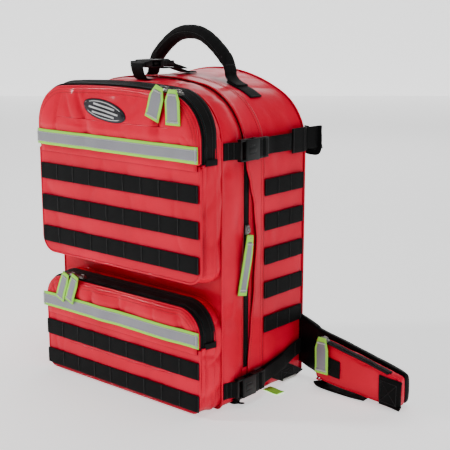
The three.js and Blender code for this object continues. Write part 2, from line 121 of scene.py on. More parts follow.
def studio():
    """A pale floor and a paper wall behind the bag, one key light, a soft fill and a light above."""
    centre = (0, 0, 0.25)
    area_light("key", (-2.1, -1.8, 1.55), centre, 0.42, 46)
    area_light("side", (2.6, -0.9, 1.3), centre, 1.0, 18)
    area_light("top", (0.2, 0.3, 2.4), centre, 1.2, 20)
    area_light("rear", (-1.2, 2.4, 1.6), centre, 1.6, 11)
    world = bpy.data.worlds.new("studio")
    bpy.context.scene.world = world
    world.use_nodes = True
    world.node_tree.nodes["Background"].inputs[0].default_value = (1, 1, 1, 1)
    world.node_tree.nodes["Background"].inputs[1].default_value = 0.08
    span = 14
    stage_piece("floor", [(-span, -span, 0), (span, -span, 0), (span, span, 0), (-span, span, 0)], 0.8)
    # The wall stands square to the camera's view, five metres beyond the bag.
    away = Vector((-math.sin(math.radians(AZIMUTH)), math.cos(math.radians(AZIMUTH)), 0))
    across = Vector((away.y, -away.x, 0))
    distance, half_width, height = 5.0, 7, 4
    ends = [away * distance - across * half_width, away * distance + across * half_width]
    wall = ends + [p + Vector((0, 0, height)) for p in reversed(ends)]
    stage_piece("wall", [tuple(p) for p in wall], 1.05)


camera()
studio()


# ---------------------------------------------------------------- materials
class Nodes:
    """A short way to write a material's node tree."""

    def __init__(self, name):
        self.material = bpy.data.materials.new(name)
        self.material.use_nodes = True
        self.tree = self.material.node_tree
        self.shader = self.tree.nodes["Principled BSDF"]

    def add(self, kind, **sockets):
        node = self.tree.nodes.new(kind)
        for key, value in sockets.items():
            self.put(node, key.replace("_", " "), value)
        return node

    def put(self, node, key, value):
        socket = node.inputs[int(key)] if key.isdigit() else node.inputs[key]
        if isinstance(value, bpy.types.NodeSocket):
            self.tree.links.new(value, socket)
        else:
            socket.default_value = value

    def math(self, operation, a, b=0.0, c=0.0):
        node = self.tree.nodes.new("ShaderNodeMath")
        node.operation = operation
        for i, value in enumerate((a, b, c)):
            self.put(node, str(i), value)
        return node.outputs[0]

    def coords(self, kind="Object"):
        return self.tree.nodes.new("ShaderNodeTexCoord").outputs[kind]

    def axes(self, kind="Object"):
        split = self.tree.nodes.new("ShaderNodeSeparateXYZ")
        self.put(split, "0", self.coords(kind))
        return split.outputs

    def noise(self, scale, detail=3.0, stretch=None):
        node = self.tree.nodes.new("ShaderNodeTexNoise")
        place = self.coords()
        if stretch:
            mapping = self.tree.nodes.new("ShaderNodeMapping")
            self.put(mapping, "Vector", place)
            mapping.inputs["Scale"].default_value = stretch
            place = mapping.outputs[0]
        self.put(node, "Vector", place)
        node.inputs["Scale"].default_value = scale
        node.inputs["Detail"].default_value = detail
        return node.outputs["Fac"]

    def ramp(self, fac, *stops):
        node = self.tree.nodes.new("ShaderNodeValToRGB")
        self.put(node, "Fac", fac)
        elements = node.color_ramp.elements
        while len(elements) < len(stops):
            elements.new(0.5)
        for element, (place, colour) in zip(elements, stops):
            element.position = place
            element.color = (*colour, 1)
        return node.outputs["Color"]

    def waves(self, axis, pitch, sharp=1.0):
        """A rib profile from 0 to 1 along one coordinate, with that pitch in metres."""
        turned = self.math("MULTIPLY", axis, 2 * math.pi / pitch)
        up = self.math("MULTIPLY_ADD", self.math("SINE", turned), 0.5, 0.5)
        return self.math("POWER", up, sharp) if sharp != 1.0 else up

    def bump(self, height, distance, strength=1.0, under=None):
        node = self.tree.nodes.new("ShaderNodeBump")
        node.inputs["Strength"].default_value = strength
        node.inputs["Distance"].default_value = distance
        self.put(node, "Height", height)
        if under is not None:
            self.put(node, "Normal", under)
        return node.outputs["Normal"]

    def finish(self, colour, rough, normal, **fixed):
        self.put(self.shader, "Base Color", colour)
        self.put(self.shader, "Roughness", rough)
        self.put(self.shader, "Normal", normal)
        for key, value in fixed.items():
            self.shader.inputs[key.replace("_", " ")].default_value = value
        return self.material


def spread(m, fac, low, high):
    """A value that wanders from low to high with a 0..1 texture."""
    return m.math("MULTIPLY_ADD", fac, high - low, low)


def coated_fabric(name, dark, mid, light):
    """Coated weave: a fine emboss of the threads, soft dents, worn paler patches, and painted shade in its
    hollows.
    """
    m = Nodes(name)
    cloudy = m.noise(9, 4)
    colour = m.ramp(cloudy, (0.3, dark), (0.5, mid), (0.72, light))
    # Painted shade: an ambient-occlusion mask darkens the base colour in seams and hollows, where shade
    # falls.
    painted_hollow_shade = m.add("ShaderNodeAmbientOcclusion", Color=colour, Distance=0.03)
    painted_hollow_shade.samples = 6
    shade = m.add("ShaderNodeMixRGB", Fac=0.75, Color1=colour, Color2=painted_hollow_shade.outputs["Color"])
    colour = shade.outputs["Color"]
    x, y, z = m.axes()
    across = m.waves(m.math("ADD", x, y), 1.1 * MM)
    up = m.waves(z, 1.1 * MM)
    weave = m.math("MULTIPLY", across, up)
    dents = m.bump(m.noise(26, 4), 2.6 * MM, 0.6)
    grain = m.bump(m.noise(900, 2), 0.08 * MM, 0.5, dents)
    normal = m.bump(weave, 0.12 * MM, 0.5, grain)
    rough = spread(m, m.noise(60, 3), 0.3, 0.44)
    return m.finish(colour, rough, normal, Coat_Weight=0.12, Coat_Roughness=0.12, Specular_IOR_Level=0.05)


def webbing(name, dark, light, rough=0.72, sheen=0.02):
    """Woven tape. UV x runs along it and y across, in metres: ribs, a herringbone and a fuzz."""
    m = Nodes(name)
    u, v, _ = m.axes("UV")
    ribs = m.waves(u, 1.5 * MM)
    columns = m.waves(v, 2.1 * MM)
    slant = m.waves(m.math("ADD", u, v), 3.1 * MM)
    weave = m.math("MULTIPLY_ADD", m.math("MULTIPLY", ribs, columns), 0.7, m.math("MULTIPLY", slant, 0.3))
    fuzz = m.noise(420, 2)
    tone = m.math("MULTIPLY_ADD", weave, 0.6, m.math("MULTIPLY", fuzz, 0.4))
    colour = m.ramp(tone, (0.15, dark), (0.9, light))
    normal = m.bump(weave, 0.35 * MM, 0.8, m.bump(m.noise(40, 2), 0.8 * MM, 0.3))
    return m.finish(colour, spread(m, fuzz, rough - 0.08, rough + 0.1), normal, Sheen_Weight=sheen,
                    Specular_IOR_Level=0.14)


def spacer_mesh(name, dark, light):
    """Open knitted mesh over foam: rows of small holes."""
    m = Nodes(name)
    cells = m.tree.nodes.new("ShaderNodeTexVoronoi")
    m.put(cells, "Vector", m.coords())
    cells.inputs["Scale"].default_value = 330
    cells.inputs["Randomness"].default_value = 0.25
    hole = m.math("SMOOTH_MIN", cells.outputs["Distance"], 0.45, 0.1)
    colour = m.ramp(hole, (0.05, dark), (0.4, light))
    normal = m.bump(hole, 0.8 * MM, 0.9, m.bump(m.noise(30, 3), 1.5 * MM, 0.3))
    return m.finish(colour, spread(m, m.noise(200), 0.75, 0.95), normal, Specular_IOR_Level=0.25)


def moulded(name, dark, light, rough=0.42):
    """Injection-moulded plastic with a fine spark texture and a mottled tone."""
    m = Nodes(name)
    grain = m.noise(1500, 2)
    colour = m.ramp(m.noise(45, 4), (0.35, dark), (0.75, light))
    normal = m.bump(grain, 0.06 * MM, 0.6, m.bump(m.noise(120, 2), 0.2 * MM, 0.2))
    return m.finish(colour, spread(m, m.noise(90, 3), rough - 0.07, rough + 0.1), normal,
                    Specular_IOR_Level=0.22)


def metal(name, dark, light):
    """Plated zinc: brushed, with worn bright spots."""
    m = Nodes(name)
    brushed = m.noise(300, 3, stretch=(1, 8, 1))
    colour = m.ramp(m.math("MULTIPLY_ADD", brushed, 0.5, m.math("MULTIPLY", m.noise(80, 3), 0.5)),
                    (0.3, dark), (0.7, light))
    normal = m.bump(brushed, 0.05 * MM, 0.6)
    return m.finish(colour, spread(m, m.noise(160, 3), 0.25, 0.45), normal, Metallic=0.95)


def reflective(name):
    """Grey reflective tape: fine glass beads in a slanted lattice."""
    m = Nodes(name)
    u, v, _ = m.axes("UV")
    one = m.waves(m.math("ADD", u, v), 3.4 * MM, 4.0)
    two = m.waves(m.math("SUBTRACT", u, v), 3.4 * MM, 4.0)
    lattice = m.math("MAXIMUM", one, two)
    mottle = m.math("MULTIPLY_ADD", m.noise(1400, 2), 0.6, m.math("MULTIPLY", m.noise(25, 3), 0.4))
    colour = m.ramp(mottle, (0.25, (0.21, 0.21, 0.235)), (0.75, (0.33, 0.33, 0.36)))
    normal = m.bump(lattice, 0.12 * MM, 0.4, m.bump(m.noise(1400, 2), 0.05 * MM, 0.5))
    rough = spread(m, mottle, 0.34, 0.5)
    return m.finish(colour, rough, normal, Metallic=0.25)


def thread(name, dark, light):
    m = Nodes(name)
    twist = m.waves(m.math("ADD", m.axes()[0], m.axes()[2]), 0.6 * MM)
    colour = m.ramp(m.math("MULTIPLY_ADD", twist, 0.5, m.math("MULTIPLY", m.noise(300), 0.5)),
                    (0.2, dark), (0.8, light))
    return m.finish(colour, spread(m, m.noise(500), 0.5, 0.7), m.bump(twist, 0.15 * MM, 0.6))


RED = coated_fabric("coated_red", (0.72, 0.0, 0.028), (0.84, 0.0, 0.036), (0.95, 0.001, 0.046))
LINING = coated_fabric("grey_lining", (0.05, 0.052, 0.055), (0.07, 0.072, 0.075), (0.10, 0.10, 0.105))
BLACK = webbing("black_webbing", (0.0008, 0.0009, 0.001), (0.0045, 0.0048, 0.0052), sheen=0.01)
TAPE = webbing("zip_tape", (0.001, 0.001, 0.0011), (0.005, 0.005, 0.0055), 0.62)
# The coil is lighter than the tape: partly the coil's own dark grey, partly painted highlight for the light
# its ridges catch.
COIL = moulded("zip_coil", (0.012, 0.012, 0.013), (0.036, 0.036, 0.038), 0.3)
LIME = webbing("lime_webbing", (0.34, 0.94, 0.06), (0.56, 1.0, 0.14), 0.6)
SILVER = reflective("reflective_tape")
PLASTIC = moulded("buckle_plastic", (0.0025, 0.0027, 0.0028), (0.009, 0.0095, 0.01))
STEEL = metal("slider_metal", (0.10, 0.095, 0.09), (0.42, 0.40, 0.38))
MESH = spacer_mesh("spacer_mesh", (0.0015, 0.0015, 0.0017), (0.012, 0.0125, 0.0135))
PAD = coated_fabric("pad_cordura", (0.002, 0.002, 0.0022), (0.004, 0.004, 0.0045), (0.008, 0.008, 0.009))
RED_THREAD = thread("red_thread", (0.45, 0.012, 0.018), (0.72, 0.03, 0.04))
BLACK_THREAD = thread("black_thread", (0.003, 0.003, 0.003), (0.016, 0.016, 0.017))
WHITE_THREAD = thread("white_thread", (0.5, 0.5, 0.48), (0.8, 0.8, 0.78))
SHEET = moulded("frame_sheet_plastic", (0.55, 0.55, 0.5), (0.7, 0.7, 0.66), 0.5)
BADGE_DARK = moulded("badge_rubber", (0.012, 0.012, 0.016), (0.03, 0.03, 0.038), 0.5)
BADGE_PALE = moulded("badge_pale", (0.55, 0.55, 0.56), (0.75, 0.75, 0.76), 0.5)


# ---------------------------------------------------------------- mesh helpers
def v(x, y, z):
    """A point given in millimetres."""
    return Vector((x * MM, y * MM, z * MM))


def piece(name, verts, faces, mat, body=None, uvs=None, smooth=True, inner=None):
    """A mesh object from points and faces."""
    mesh = bpy.data.meshes.new(name)
    mesh.from_pydata([tuple(p) for p in verts], [], faces)
    if uvs is not None:
        layer = mesh.uv_layers.new(name="UVMap")
        for loop in mesh.loops:
            layer.data[loop.index].uv = uvs[loop.vertex_index]
    mesh.materials.append(mat)
    if inner:
        mesh.materials.append(inner)
    mesh.polygons.foreach_set("use_smooth", [smooth] * len(mesh.polygons))
    obj = new_object(name, mesh)
    if body:
        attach(obj, body)
    return obj


def modifier(obj, kind, **values):
    made = obj.modifiers.new(kind.lower(), kind)
    for key, value in values.items():
        setattr(made, key, value)
    return made


def apply_modifiers(obj):
    graph = bpy.context.evaluated_depsgraph_get()
    mesh = bpy.data.meshes.new_from_object(obj.evaluated_get(graph), depsgraph=graph)
    obj.modifiers.clear()
    obj.data = mesh
    return obj


def edit_mesh(obj, change):
    """Runs one bmesh change on an object's mesh."""
    bm = bmesh.new()
    bm.from_mesh(obj.data)
    change(bm)
    bm.to_mesh(obj.data)
    bm.free()
    return obj


def recalculate(obj):
    """Turns a closed piece's faces outwards."""
    return edit_mesh(obj, lambda bm: bmesh.ops.recalc_face_normals(bm, faces=bm.faces))


def weld(obj, distance):
    return edit_mesh(obj, lambda bm: bmesh.ops.remove_doubles(bm, verts=bm.verts, dist=distance))


def drop_loose(obj):
    """Deletes points that no face uses."""
    def change(bm):
        bmesh.ops.delete(bm, geom=[q for q in bm.verts if not q.link_faces], context="VERTS")
    return edit_mesh(obj, change)


def ring_faces(gaps, n):
    """Quads that join rings of n points, numbered ring after ring."""
    return [(r * n + j, r * n + (j + 1) % n, (r + 1) * n + (j + 1) % n, (r + 1) * n + j)
            for r in range(gaps) for j in range(n)]


def sewn_fabric(obj, thick, inner, body):
    """Gives a fabric its thickness inwards, with its lining, and fixes it to a body."""
    made = modifier(obj, "SOLIDIFY", thickness=thick * MM, offset=-1)
    if inner:
        made.material_offset = 1
    apply_modifiers(obj)
    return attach(obj, body)


def face_out(obj, centre):
    """Turns every face so that the surface looks away from a point."""
    mesh = obj.data
    votes = sum((p.center - centre).dot(p.normal) * p.area for p in mesh.polygons)
    if votes < 0:
        mesh.flip_normals()
    return obj


def ease(t):
    """A share from 0 to 1 with soft ends."""
    return t * t * (3 - 2 * t)


def squarish(share, power):
    """A sine or cosine bent towards a square's side: power 2 is round, more is squarer."""
    return math.copysign(abs(share) ** (2 / power), share)


def smooth_line(points, each=8, closed=False):
    """A Catmull-Rom line through points."""
    pts = [Vector(p) for p in points]
    n = len(pts)
    spans = n if closed else n - 1
    line = []
    for i in range(spans):
        if closed:
            a, b, c, d = (pts[(i + k) % n] for k in (-1, 0, 1, 2))
        else:
            a, b, c, d = (pts[min(max(i + k, 0), n - 1)] for k in (-1, 0, 1, 2))
        for k in range(each):
            t = k / each
            line.append(0.5 * (2 * b + (c - a) * t + (2 * a - 5 * b + 4 * c - d) * t * t
                               + (3 * b - a - 3 * c + d) * t ** 3))
    if not closed:
        line.append(pts[-1])
    return line


def tangents(line, closed=False):
    n = len(line)
    out = []
    for i in range(n):
        a = line[(i - 1) % n] if closed or i else line[0]
        b = line[(i + 1) % n] if closed or i < n - 1 else line[-1]
        out.append((b - a).normalized())
    return out


def each_of(value, n):
    """One vector for all of a line's points, or a list that already has one per point."""
    return value if isinstance(value, list) else [Vector(value)] * n


# Half of a webbing's section, as shares of the half width and half thickness.
SECTION = [(-1, 0.0), (-0.985, 0.75), (-0.93, 1.0), (-0.5, 1.0), (0, 1.0), (0.5, 1.0), (0.93, 1.0),
           (0.985, 0.75), (1, 0.0), (0.985, -0.75), (0.93, -1.0), (0.5, -1.0), (0, -1.0), (-0.5, -1.0),
           (-0.93, -1.0), (-0.985, -0.75)]


def strap(name, line, up, width, thick, mat, body=None, section=SECTION):
    """Webbing along a line; `up` is its face's direction, width may vary along it."""
    n, k = len(line), len(section)
    ups, along = each_of(up, n), tangents(line)
    widths = width if isinstance(width, list) else [width] * n
    verts, uvs, run = [], [], 0.0
    for i, p in enumerate(line):
        run += (p - line[i - 1]).length if i else 0
        side = along[i].cross(ups[i]).normalized()
        face = side.cross(along[i]).normalized()
        for a, b in section:
            verts.append(p + side * (a * widths[i] / 2) + face * (b * thick / 2))
            uvs.append((run, a * widths[i] / 2))
    faces = [(i * k + j, (i + 1) * k + j, (i + 1) * k + (j + 1) % k, i * k + (j + 1) % k)
             for i in range(n - 1) for j in range(k)]
    faces += [tuple(range(k)), tuple((n - 1) * k + j for j in reversed(range(k)))]
    obj = piece(name, verts, faces, mat, body, uvs)
    obj.data.validate()
    return recalculate(obj)


def tube(name, line, radius, mat, body=None, closed=False, sides=10, up=(0, 0, 1)):
    """A round cord or moulded bar along a line."""
    n = len(line)
    along, ups = tangents(line, closed), each_of(up, n)
    radii = radius if isinstance(radius, list) else [radius] * n
    verts, uvs, run = [], [], 0.0
    for i, p in enumerate(line):
        run += (p - line[i - 1]).length if i else 0
        side = along[i].cross(ups[i])
        side = side.normalized() if side.length > 1e-6 else along[i].orthogonal().normalized()
        face = side.cross(along[i]).normalized()
        for j in range(sides):
            a = 2 * math.pi * j / sides
            verts.append(p + (side * math.cos(a) + face * math.sin(a)) * radii[i])
            uvs.append((run, radii[i] * a))
    last = n if closed else n - 1
    faces = [(i * sides + j, i * sides + (j + 1) % sides, ((i + 1) % n) * sides + (j + 1) % sides,
              ((i + 1) % n) * sides + j) for i in range(last) for j in range(sides)]
    if not closed:
        faces += [tuple(reversed(range(sides))), tuple((n - 1) * sides + j for j in range(sides))]
    obj = piece(name, verts, faces, mat, body, uvs)
    return recalculate(obj)


def resample(line, step, closed=False):
    """Points evenly spaced along a line, about `step` apart, with the way along it at each."""
    pts = line + [line[0]] if closed else line
    lengths = [0.0]
    for a, b in zip(pts, pts[1:]):
        lengths.append(lengths[-1] + (b - a).length)
    count = max(int(lengths[-1] / step), 1)
    out, j = [], 0
    for i in range(count + (0 if closed else 1)):
        want = lengths[-1] * i / count
        while j < len(pts) - 2 and lengths[j + 1] < want:
            j += 1
        span = lengths[j + 1] - lengths[j] or 1e-9
        t = (want - lengths[j]) / span
        out.append((pts[j].lerp(pts[j + 1], t), (pts[j + 1] - pts[j]).normalized(), j if t < 0.5 else j + 1))
    return out


def beads(name, placed, shape, mat, body=None):
    """Many small copies of one convex shape in one mesh. placed holds (point, along, up); shape is a
    list of (along, side, up) corners in rings of four, closed at both ends."""
    rings = len(shape) // 4
    verts, faces, uvs = [], [], []
    for p, along, up in placed:
        side = along.cross(up).normalized()
        face = side.cross(along).normalized()
        base = len(verts)
        for a, b, c in shape:
            verts.append(p + along * a + side * b + face * c)
            uvs.append((a, b))
        for r in range(rings - 1):
            for j in range(4):
                k = (j + 1) % 4
                faces.append((base + r * 4 + j, base + r * 4 + k, base + r * 4 + 4 + k, base + r * 4 + 4 + j))
        faces.append(tuple(base + j for j in (3, 2, 1, 0)))
        faces.append(tuple(base + (rings - 1) * 4 + j for j in range(4)))
    obj = piece(name, verts, faces, mat, body, uvs)
    return recalculate(obj)


def stitch_shape(long, wide, high):
    out = []
    for a, s in ((-0.5, 0.35), (-0.3, 1), (0.3, 1), (0.5, 0.35)):
        out += [(a * long, -wide * s, 0), (a * long, 0, -high), (a * long, wide * s, 0),
                (a * long, 0, high * s)]
    return out


def stitches(name, line, up, mat, body=None, pitch=3.2 * MM, closed=False):
    """A row of thread stitches along a line that lies on a surface facing `up`."""
    ups = each_of(up, len(line))
    placed = [(p, along, ups[min(j, len(ups) - 1)]) for p, along, j in resample(line, pitch, closed)]
    return beads(name, placed, stitch_shape(pitch * 0.8, 0.42 * MM, 0.45 * MM), mat, body)


def bar_tack(placed, centre, along, up, long):
    """Adds the dense zigzag of a bar tack: short stitches side by side over its length."""
    side = along.cross(up).normalized()
    count = int(long / (0.75 * MM))
    for i in range(count + 1):
        t = (i / count - 0.5) * long
        tilt = 0.25 if i % 2 else -0.25
        placed.append((centre + along * t, (side + along * tilt).normalized(), up))
    return placed


TACK = stitch_shape(2.6 * MM, 0.42 * MM, 0.75 * MM)


# ---------------------------------------------------------------- outlines of the bag
FLAP_ARCH = dict(w=170, top=470, crown=1500, corner=62, low=0, foot=14)
RIM_ARCH = dict(w=174, top=477, crown=1500, corner=64, low=0, foot=14)
SEAM_ARCH = dict(w=171, top=476, crown=900, corner=76, low=1, foot=14)
ZIP_ARCH = dict(w=171, top=479, crown=500, corner=100, low=0.6, foot=14)
BACK_ARCH = dict(w=171, top=487, crown=260, corner=90, low=0, foot=14)
COUNTS = (20, 8, 40, 30, 46)  # bottom, foot, side, corner, crown: points in each stretch


def turn_points(cx, cz, r, a, b, n):
    return [(cx + r * math.cos(a + (b - a) * i / n), cz + r * math.sin(a + (b - a) * i / n))
            for i in range(n)]


def run_points(a, b, n):
    return [(a[0] + (b[0] - a[0]) * i / n, a[1] + (b[1] - a[1]) * i / n) for i in range(n)]


def both_sides(right):
    """Closes a right half that starts at the bottom centre and ends at the top centre."""
    pts = right + [(-x, z) for x, z in reversed(right[1:-1])]
    return [(x * MM, z * MM) for x, z in pts]


def arch(shape, out=0.0, **changes):
    s = {**shape, **changes}
    w, top, low, foot = s["w"] + out, s["top"] + out, s["low"] - out, s["foot"]
    crown, corner = s["crown"] + out, s["corner"] + out
    cx = w - corner
    cz = top - crown + math.sqrt((crown - corner) ** 2 - cx ** 2)
    start = math.acos(cx / (crown - corner))
    right = run_points((0, low), (w - foot, low), COUNTS[0])
    right += turn_points(w - foot, low + foot, foot, -math.pi / 2, 0, COUNTS[1])
    right += run_points((w, low + foot), (w, cz), COUNTS[2])
    right += turn_points(cx, cz, corner, 0, start, COUNTS[3])
    right += turn_points(0, top - crown, crown, start, math.pi / 2, COUNTS[4])
    return both_sides(right + [(0, top)])


def slab(w, z0, z1, top_r, foot_r):
    """A rounded rectangle, 2w wide, with the arch's numbering."""
    right = run_points((0, z0), (w - foot_r, z0), COUNTS[0])
    right += turn_points(w - foot_r, z0 + foot_r, foot_r, -math.pi / 2, 0, COUNTS[1])
    right += run_points((w, z0 + foot_r), (w, z1 - top_r), COUNTS[2])
    right += turn_points(w - top_r, z1 - top_r, top_r, 0, math.pi / 2, COUNTS[3])
    right += run_points((w - top_r, z1), (0, z1), COUNTS[4])
    return both_sides(right + [(0, z1)])


def mix(a, b, t):
    return [(p[0] + (q[0] - p[0]) * t, p[1] + (q[1] - p[1]) * t) for p, q in zip(a, b)]


def outward(outline):
    """Unit vectors that point out of an outline, at each of its points."""
    n, out = len(outline), []
    for i in range(n):
        ax, az = outline[i - 1]
        bx, bz = outline[(i + 1) % n]
        d = math.hypot(bx - ax, bz - az) or 1.0
        out.append(((bz - az) / d, -(bx - ax) / d))
    return out


def wander(p, seed, size, stretch=(1, 1, 1)):
    """Smooth noise from -1 to 1 with features of about `size` metres."""
    q = Vector((p[0] * stretch[0] + seed * 7.3, p[1] * stretch[1] - seed * 3.1, p[2] * stretch[2] + seed))
    return noise.noise(q / size)


def crease(p, seed, size, stretch=(1, 1, 1)):
    """0 almost everywhere, rising to 1 along wandering lines, as fabric creases do."""
    return max(0.0, 1 - abs(wander(p, seed, size, stretch)) * 5.5) ** 2


def gusset(name, stations, rows, mat, body, keep, wrinkle=1.0, bulge=2.0, thick=1.4, seed=1,
           inner=None, out=0.0):
    """Fabric round the bag through (y in metres, outline) stations. keep(x, z, y) picks the faces."""
    verts, uvs, spots = [], [], []
    for s in range(len(stations) - 1):
        (ya, a), (yb, b) = stations[s], stations[s + 1]
        first = 0 if s == 0 else 1
        for r in range(first, rows[s] + 1):
            t = r / rows[s]
            ring = mix(a, b, t)
            ways = outward(ring)
            y = ya + (yb - ya) * t
            full = math.sin(math.pi * t)
            for (x, z), (nx, nz) in zip(ring, ways):
                p = (x, y, z)
                soft = wander(p, seed, 0.085) * 1.9 + wander(p, seed + 5, 0.035) * 0.8
                broad = crease(p, seed + 9, 0.11, (1, 0.45, 1)) * 1.7
                fine = crease(p, seed + 17, 0.06, (0.7, 0.7, 1)) * 0.9
                fold = -broad - fine
                d = (bulge * full + wrinkle * (soft + fold) * min(1.0, full * 1.8)) * MM + out
                d = min(max(d, -0.8 * MM), 0) if nz < -0.5 else d
                verts.append((x + nx * d, y, z + nz * d))
                spots.append((x, z, y))
                uvs.append((math.atan2(x, z), y))
    n = len(stations[0][1])
    faces = []
    for quad in ring_faces(len(verts) // n - 1, n):
        middle = [sum(spots[q][i] for q in quad) / 4 for i in range(3)]
        if abs(spots[quad[0]][0] - spots[quad[1]][0]) <= 0.1 and keep(*middle):
            faces.append(quad)
    obj = piece(name, verts, faces, mat, None, uvs, inner=inner)
    drop_loose(obj)
    centre = Vector((0, (stations[0][0] + stations[-1][0]) / 2, 0.22))
    face_out(obj, centre)
    return sewn_fabric(obj, thick, inner, body)


def cushion(name, outline, y, toward, mat, body, crown=4.0, edge=2.4, rings=34, wrinkle=1.0, seed=2,
            relief=None, thick=1.4, inner=None):
    """Fabric over an outline: it rises from its edge towards -Y (toward=-1) or +Y, with soft waves."""
    n = len(outline)
    zs = [z for _, z in outline]
    cz = (max(zs) + min(zs)) / 2
    half_w = max(x for x, _ in outline)
    half_h = (max(zs) - min(zs)) / 2
    shrink = min(half_w, half_h)
    steep = 2.6  # how quickly the crown rises from the edge
    verts, uvs = [], []

    def spot(j, d):
        """The outline's point j drawn in by d, towards a spine along the longer axis."""
        x, z = outline[j]
        keep = 1 - d / shrink
        spine = half_w - shrink
        sx = max(-spine, min(spine, x)) * (1 if half_w >= half_h else 0)
        sz = cz if half_w >= half_h else cz + max(-(half_h - shrink), min(half_h - shrink, z - cz))
        return sx + (x - sx) * keep, sz + (z - sz) * keep

    steps = [0.0] + [shrink * (i / rings) ** 1.35 for i in range(1, rings + 1)]
    for i, d in enumerate(steps):
        share = min(d / shrink, 0.999)
        rise = 1 - (1 - share) ** steep
        round_over = min(1.0, d / (edge * MM))
        rise_edge = math.sqrt(max(0.0, 1 - (1 - round_over) ** 2))
        for j in range(n):
            x, z = spot(j, d)
            p = (x, y, z)
            calm = min(1.0, d / 0.012)
            soft = wander(p, seed, 0.075, (1, 1, 0.6)) * 2.4 + wander(p, seed + 4, 0.032, (1, 1, 0.55)) * 1.1
            broad = crease(p, seed + 8, 0.09, (1, 1, 0.4)) * 2.0
            fine = crease(p, seed + 21, 0.05, (1, 1, 0.35))
            swell = soft + (-broad - fine)
            swell -= 0.28 * min(max(0.0, swell), 1.78) ** 2  # dents go deeper than bulges rise
            h = edge * rise_edge + crown * rise + wrinkle * min(swell, 0.9) * calm
            if relief:
                h += relief(x / MM, z / MM) * calm
            verts.append((x, y + toward * h * MM, z))
            uvs.append((x, z))
    obj = piece(name, verts, ring_faces(len(steps) - 1, n), mat, None, uvs, inner=inner)
    weld(obj, 0.05 * MM)
    obj.data.polygons.foreach_set("use_smooth", [True] * len(obj.data.polygons))
    face_out(obj, Vector((0, y - toward * 1.0, cz)))
    return sewn_fabric(obj, thick, inner, body)


def on_arch(outline, y, lift):
    """The line of an outline at one depth, lifted off it, with the outward directions."""
    ways = outward(outline)
    line, ups = [], []
    for (x, z), (nx, nz) in zip(outline, ways):
        line.append(Vector((x + nx * lift, y, z + nz * lift)))
        ups.append(Vector((nx, 0, nz)))
    return line, ups


def opened(outline, y, lift, above):
    """The part of an arch's line above a height, from right to left over the top."""
    line, ups = on_arch(outline, y, lift)
    n = len(line)
    keep = [i for i in range(n) if line[i].z > above]
    return [line[i] for i in keep], [ups[i] for i in keep]


def zip_teeth(name, line, up, body, across, side):
    """One row of a coil: loops set across the line. side is -1 for one row and 1 for its partner."""
    ups = each_of(up, len(line))
    pitch, across = 2.3 * MM, Vector(across)
    half_step = pitch * 0.5 if side > 0 else 0
    placed = []
    for p, along, j in resample(line, pitch):
        spot = p + across * (side * 0.9 * MM) + along * half_step
        placed.append((spot, across * side, ups[min(j, len(ups) - 1)]))
    tooth = []
    for a, s in ((-1.3, 0.7), (-0.6, 1.0), (0.9, 1.0), (1.612, 0.55)):
        w, h = 0.72 * s, 1.0 * s
        tooth += [(a * MM, -w * MM, 0), (a * MM, 0, -h * MM), (a * MM, w * MM, 0), (a * MM, 0, h * MM)]
    return beads(name, placed, tooth, COIL, body)


class Surface:
    """Finds places on a finished piece by dropping points onto it."""

    def __init__(self, *objs):
        verts, faces = [], []
        for obj in objs:
            base = len(verts)
            verts += [obj.matrix_world @ q.co for q in obj.data.vertices]
            faces += [[base + i for i in p.vertices] for p in obj.data.polygons]
        self.tree = BVHTree.FromPolygons(verts, faces)

    def drop(self, p, way, lift=0.0, reach=0.06):
        way = Vector(way).normalized()
        hit = self.tree.ray_cast(Vector(p) - way * reach, way, reach * 2)[0]
        return (hit if hit is not None else Vector(p)) - way * lift

    def line(self, pts, way, lift=0.0):
        return [self.drop(p, way, lift) for p in pts]


def blocks(name, parts, mat, body, place):
    """Bevelled blocks in one mesh, in millimetres: each is (low corner, high corner, bevel)."""
    bm = bmesh.new()
    for low, high, bevel in parts:
        made = bmesh.ops.create_cube(bm, size=1.0)
        verts = made["verts"]
        for q in verts:
            q.co = Vector([lo + (hi - lo) * (c + 0.5) for lo, hi, c in zip(low, high, q.co)]) * MM
        edges = {e for q in verts for e in q.link_edges}
        bmesh.ops.bevel(bm, geom=list(edges), offset=bevel * MM, segments=3, profile=0.5,
                        affect="EDGES", clamp_overlap=True)
    bmesh.ops.transform(bm, matrix=place, verts=bm.verts)
    bmesh.ops.recalc_face_normals(bm, faces=bm.faces)
    mesh = bpy.data.meshes.new(name)
    bm.to_mesh(mesh)
    bm.free()
    mesh.materials.append(mat)
    mesh.polygons.foreach_set("use_smooth", [True] * len(mesh.polygons))
    mesh.set_sharp_from_angle(angle=math.radians(50))
    obj = new_object(name, mesh)
    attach(obj, body)
    return obj


def around(y):
    """The bag's outline at a depth in millimetres."""
    seam, zip_y, back = SEAM_Y / MM, ZIP_Y / MM, BACK_Y / MM
    if y < zip_y:
        return mix(arch(SEAM_ARCH), arch(ZIP_ARCH), (y - seam) / (zip_y - seam))
    return mix(arch(ZIP_ARCH), arch(BACK_ARCH), (y - zip_y) / (back - zip_y))


# ---------------------------------------------------------------- main compartment
TAPE_IN, TAPE_OUT = 0.3, 6.3  # a main zip tape's reach either side of the zip line, millimetres


